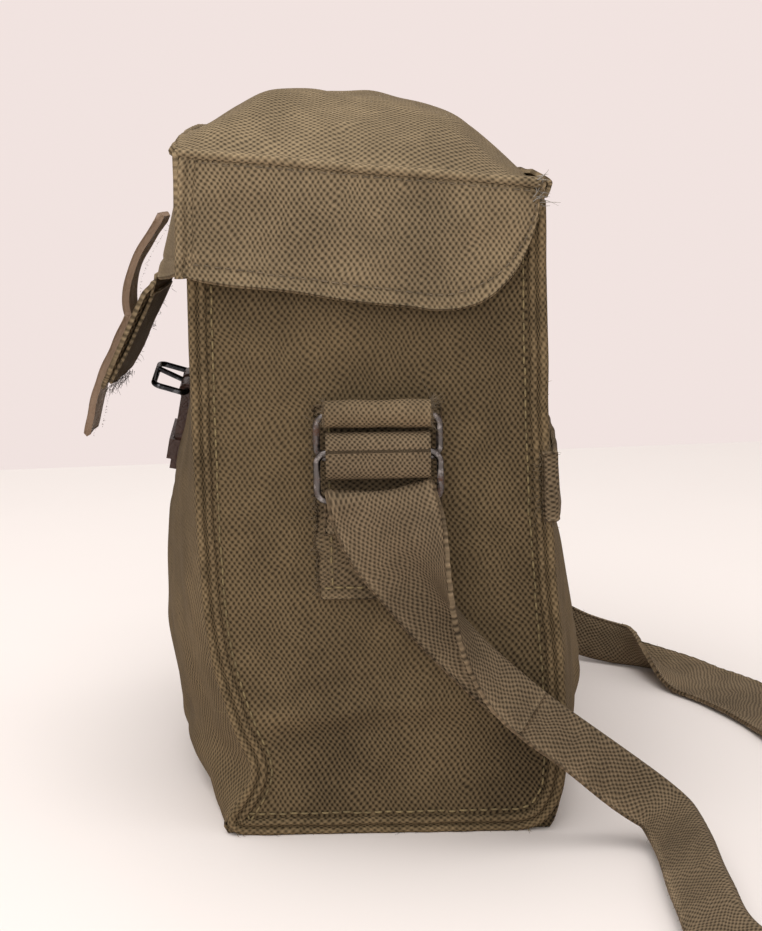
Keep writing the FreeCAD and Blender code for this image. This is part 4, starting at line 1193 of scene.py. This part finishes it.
class BAG_OT_tabs(StepOperator, bpy.types.Operator):
    """Canvas tab on each end, the roll round the upper ring's bar, and the webbing link between the rings"""
    bl_idname = "bag.tabs"
    bl_label = "Tabs and links"

    def build(self, scene):
        for side, sign in (("right", 1), ("left", -1)):
            low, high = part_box("strap_tab_" + side)
            low, high = np.array(low) / MM, np.array(high) / MM
            y, z = np.meshgrid(np.linspace(low[1], high[1], 44), np.linspace(low[2], high[2], 66), indexing="ij")
            ragged = 0.7 * ripple(z, z * 0, 9, 181) * (y < low[1] + 3)
            from_low = z - low[2]
            hem = 0.6 * (1 - step_up(from_low, 2.2, 3.6)) - 0.3 * hump(from_low, 4.0, 0.8)
            x = SIDE_X + 1.75 + hem + 0.3 * ripple(y, z, 26, 182) + 0.5 * hump(y, -12, 5) * hump(z, 112, 20)
            # painted shade in the hem groove 4 mm above the lower edge and on the upper part under the roll; the lowest
            # 2.5 mm is lighter, and the rest is random tone
            tone_and_shade = 0.14 * ripple(y, z, 24, 183) + 0.35 * (1 - step_up(from_low, 0.5, 2.5)) - 0.2 * hump(from_low, 4.0, 0.9) - 0.3 * step_up(z, 118, 140)
            points = np.stack([x * sign, y + ragged, z], -1)
            piece = cloth_piece("tab_canvas_" + side, points, np.stack([z, y], -1), 1.6, tone_and_shade, 1.5, flip=sign < 0)
            dress(piece, "tab_canvas", "bag", ["strap_tab_" + side])
            rng = np.random.default_rng(184)
            roots, ways = [], []
            for height in np.linspace(low[2] + 1, high[2] - 4, 150):
                roots.append((sign * (SIDE_X + rng.uniform(0.6, 2.0)), low[1] + rng.uniform(-0.6, 1.2), height))
                ways.append((sign * 0.4, -1.0, rng.normal(0, 0.8)))
            for _ in range(60):
                roots.append((sign * (SIDE_X + 1.9), low[1] + rng.uniform(1, 7), rng.uniform(low[2] + 5, high[2] - 25)))
                ways.append((sign, rng.normal(0, 1), rng.normal(0, 1)))
            dress(threads("tab_frays_" + side, roots, ways, 2.9, 0.13, 185, 1.1), "cloth_thread", "bag")
            rows = []
            line = np.linspace(low[1] + 2, high[1] - 2, 40)
            rows.append((np.stack([np.full(40, sign * (SIDE_X + 1.75)), line, np.full(40, low[2] + 4.0)], 1), np.tile([float(sign), 0, 0], (40, 1))))
            line = np.linspace(low[2] + 5, high[2] - 8, 60)
            rows.append((np.stack([np.full(60, sign * (SIDE_X + 1.9)), np.full(60, low[1] + 5.0), line], 1), np.tile([float(sign), 0, 0], (60, 1))))
            dress(stitches("tab_stitches_" + side, rows, seed=186), "stitch_thread", "bag")

            low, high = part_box("ring_loop_" + side)
            low, high = np.array(low) / MM, np.array(high) / MM
            cx, cz = (low[0] + high[0]) / 2, (low[2] + high[2]) / 2
            turn, y = np.meshgrid(np.linspace(0, 1, 96), np.linspace(low[1] - 1.2, high[1] + 1.2, 30), indexing="ij")
            angle = -0.9 + turn * 3.35 * math.pi
            radius = 3.6 + 2.1 * turn + 0.25 * ripple(y, turn * 30, 14, 187)
            x = cx + sign * radius * np.cos(angle)
            z = cz + radius * np.sin(angle)
            y_out = y + 0.8 * turn * ripple(angle, angle * 0, 2.5, 188) * np.sign(y - y.mean()) * 0.6
            tone_and_shade = 0.1 * ripple(y, turn * 60, 18, 189) + 0.35
            points = np.stack([x, y_out, z], -1)
            piece = cloth_piece("tab_roll_" + side, points, np.stack([y, turn * 60], -1), 1.5, tone_and_shade, 1.0, flip=sign > 0)
            dress(piece, "tab_canvas", "bag", ["ring_loop_" + side])
            roots, ways = [], []
            for _ in range(110):
                a = rng.uniform(-0.6, 2.2)
                end = rng.choice([-1, 1], p=[0.25, 0.75])
                roots.append((cx + sign * 5.2 * math.cos(a), (low[1] + high[1]) / 2 + end * 19.0, cz + 5.2 * math.sin(a)))
                ways.append((sign * 0.3 * math.cos(a), end, 0.5 * math.sin(a)))
            dress(threads("roll_frays_" + side, roots, ways, 3.0, 0.13, 190, 1.1), "cloth_thread", "bag")

            low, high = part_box("link_band_" + side)
            low, high = np.array(low) / MM, np.array(high) / MM
            half_x, half_z = (high[0] - low[0]) / 2, (high[2] - low[2]) / 2
            cx, cz = (low[0] + high[0]) / 2, (low[2] + high[2]) / 2
            straight = half_z - half_x
            around = []
            for a in np.linspace(0, math.pi, 16):
                around.append((half_x * math.cos(a), straight + half_x * math.sin(a)))
            around += [(-half_x, t) for t in np.linspace(straight, -straight, 6)[1:-1]]
            for a in np.linspace(math.pi, 2 * math.pi, 16):
                around.append((half_x * math.cos(a), -straight + half_x * math.sin(a)))
            around += [(half_x, t) for t in np.linspace(-straight, straight, 6)[1:-1]]
            around = np.array(around)
            lengths = np.linspace(0, 52, len(around))
            ys = np.linspace(low[1] - 0.8, high[1] + 0.8, 30)
            points, cloth, faces = [], [], []
            n, m = len(around), len(ys)
            for layer, shrink in ((0, 0.0), (1, 1.7)):
                scale = np.stack([(half_x - shrink) / half_x * np.ones(n), (half_z - shrink) / half_z * np.ones(n)], 1)
                for i in range(n):
                    for yy in ys:
                        wobble = 0.2 * math.sin(yy * 0.7 + i * 0.4) + 0.25 * (abs(yy - ys.mean()) > 16.5)
                        ox, oz = around[i] * scale[i]
                        points.append((cx + sign * (ox + wobble * np.sign(ox) * (layer == 0)), yy, cz + oz))
                        cloth.append((yy, lengths[i]))
            for i in range(n):
                k = (i + 1) % n
                for j in range(m - 1):
                    faces.append((i * m + j, k * m + j, k * m + j + 1, i * m + j + 1))
                    o = n * m
                    faces.append((o + i * m + j + 1, o + k * m + j + 1, o + k * m + j, o + i * m + j))
                faces.append((i * m, n * m + i * m, n * m + k * m, k * m))
                faces.append((k * m + m - 1, n * m + k * m + m - 1, n * m + i * m + m - 1, i * m + m - 1))
            if sign < 0:
                faces = [tuple(reversed(f)) for f in faces]
            piece = make_mesh("link_webbing_" + side, points, faces, cloth, None, np.full(len(points), -0.12))
            dress(piece, "webbing", "upper_ring_" + side, ["link_band_" + side])


# ---------------------------------------------------------------- add-on

class BAG_PT_panel(bpy.types.Panel):
    """The bag's settings and steps"""
    bl_idname = "BAG_PT_panel"
    bl_label = "Messenger bag"
    bl_space_type = "VIEW_3D"
    bl_region_type = "UI"
    bl_category = "Bag"

    def draw(self, context):
        for group in (context.scene.bag_cloth, context.scene.bag_shape, context.scene.bag_stage):
            column = self.layout.column(align=True)
            for name in group.__annotations__:
                column.prop(group, name)
        for step in STEPS:
            self.layout.operator(step.bl_idname)


STEPS = (
    BAG_OT_stage, BAG_OT_finishes, BAG_OT_strap, BAG_OT_body, BAG_OT_back_band, BAG_OT_lid,
    BAG_OT_closure, BAG_OT_tabs,
)
GROUPS = (("bag_cloth", ClothSettings), ("bag_shape", ShapeSettings), ("bag_stage", StageSettings))


def register():
    for name, group in GROUPS:
        bpy.utils.register_class(group)
        setattr(bpy.types.Scene, name, PointerProperty(type=group))
    for step in STEPS:
        bpy.utils.register_class(step)
    bpy.utils.register_class(BAG_PT_panel)


def unregister():
    bpy.utils.unregister_class(BAG_PT_panel)
    for step in reversed(STEPS):
        bpy.utils.unregister_class(step)
    for name, group in GROUPS:
        delattr(bpy.types.Scene, name)
        bpy.utils.unregister_class(group)


def main():
    register()
    bpy.ops.bag.stage()
    bpy.ops.bag.finishes()
    bpy.ops.bag.strap()
    bpy.ops.bag.body()
    bpy.ops.bag.back_band()
    bpy.ops.bag.lid()
    bpy.ops.bag.closure()
    bpy.ops.bag.tabs()


if __name__ == "__main__":
    main()
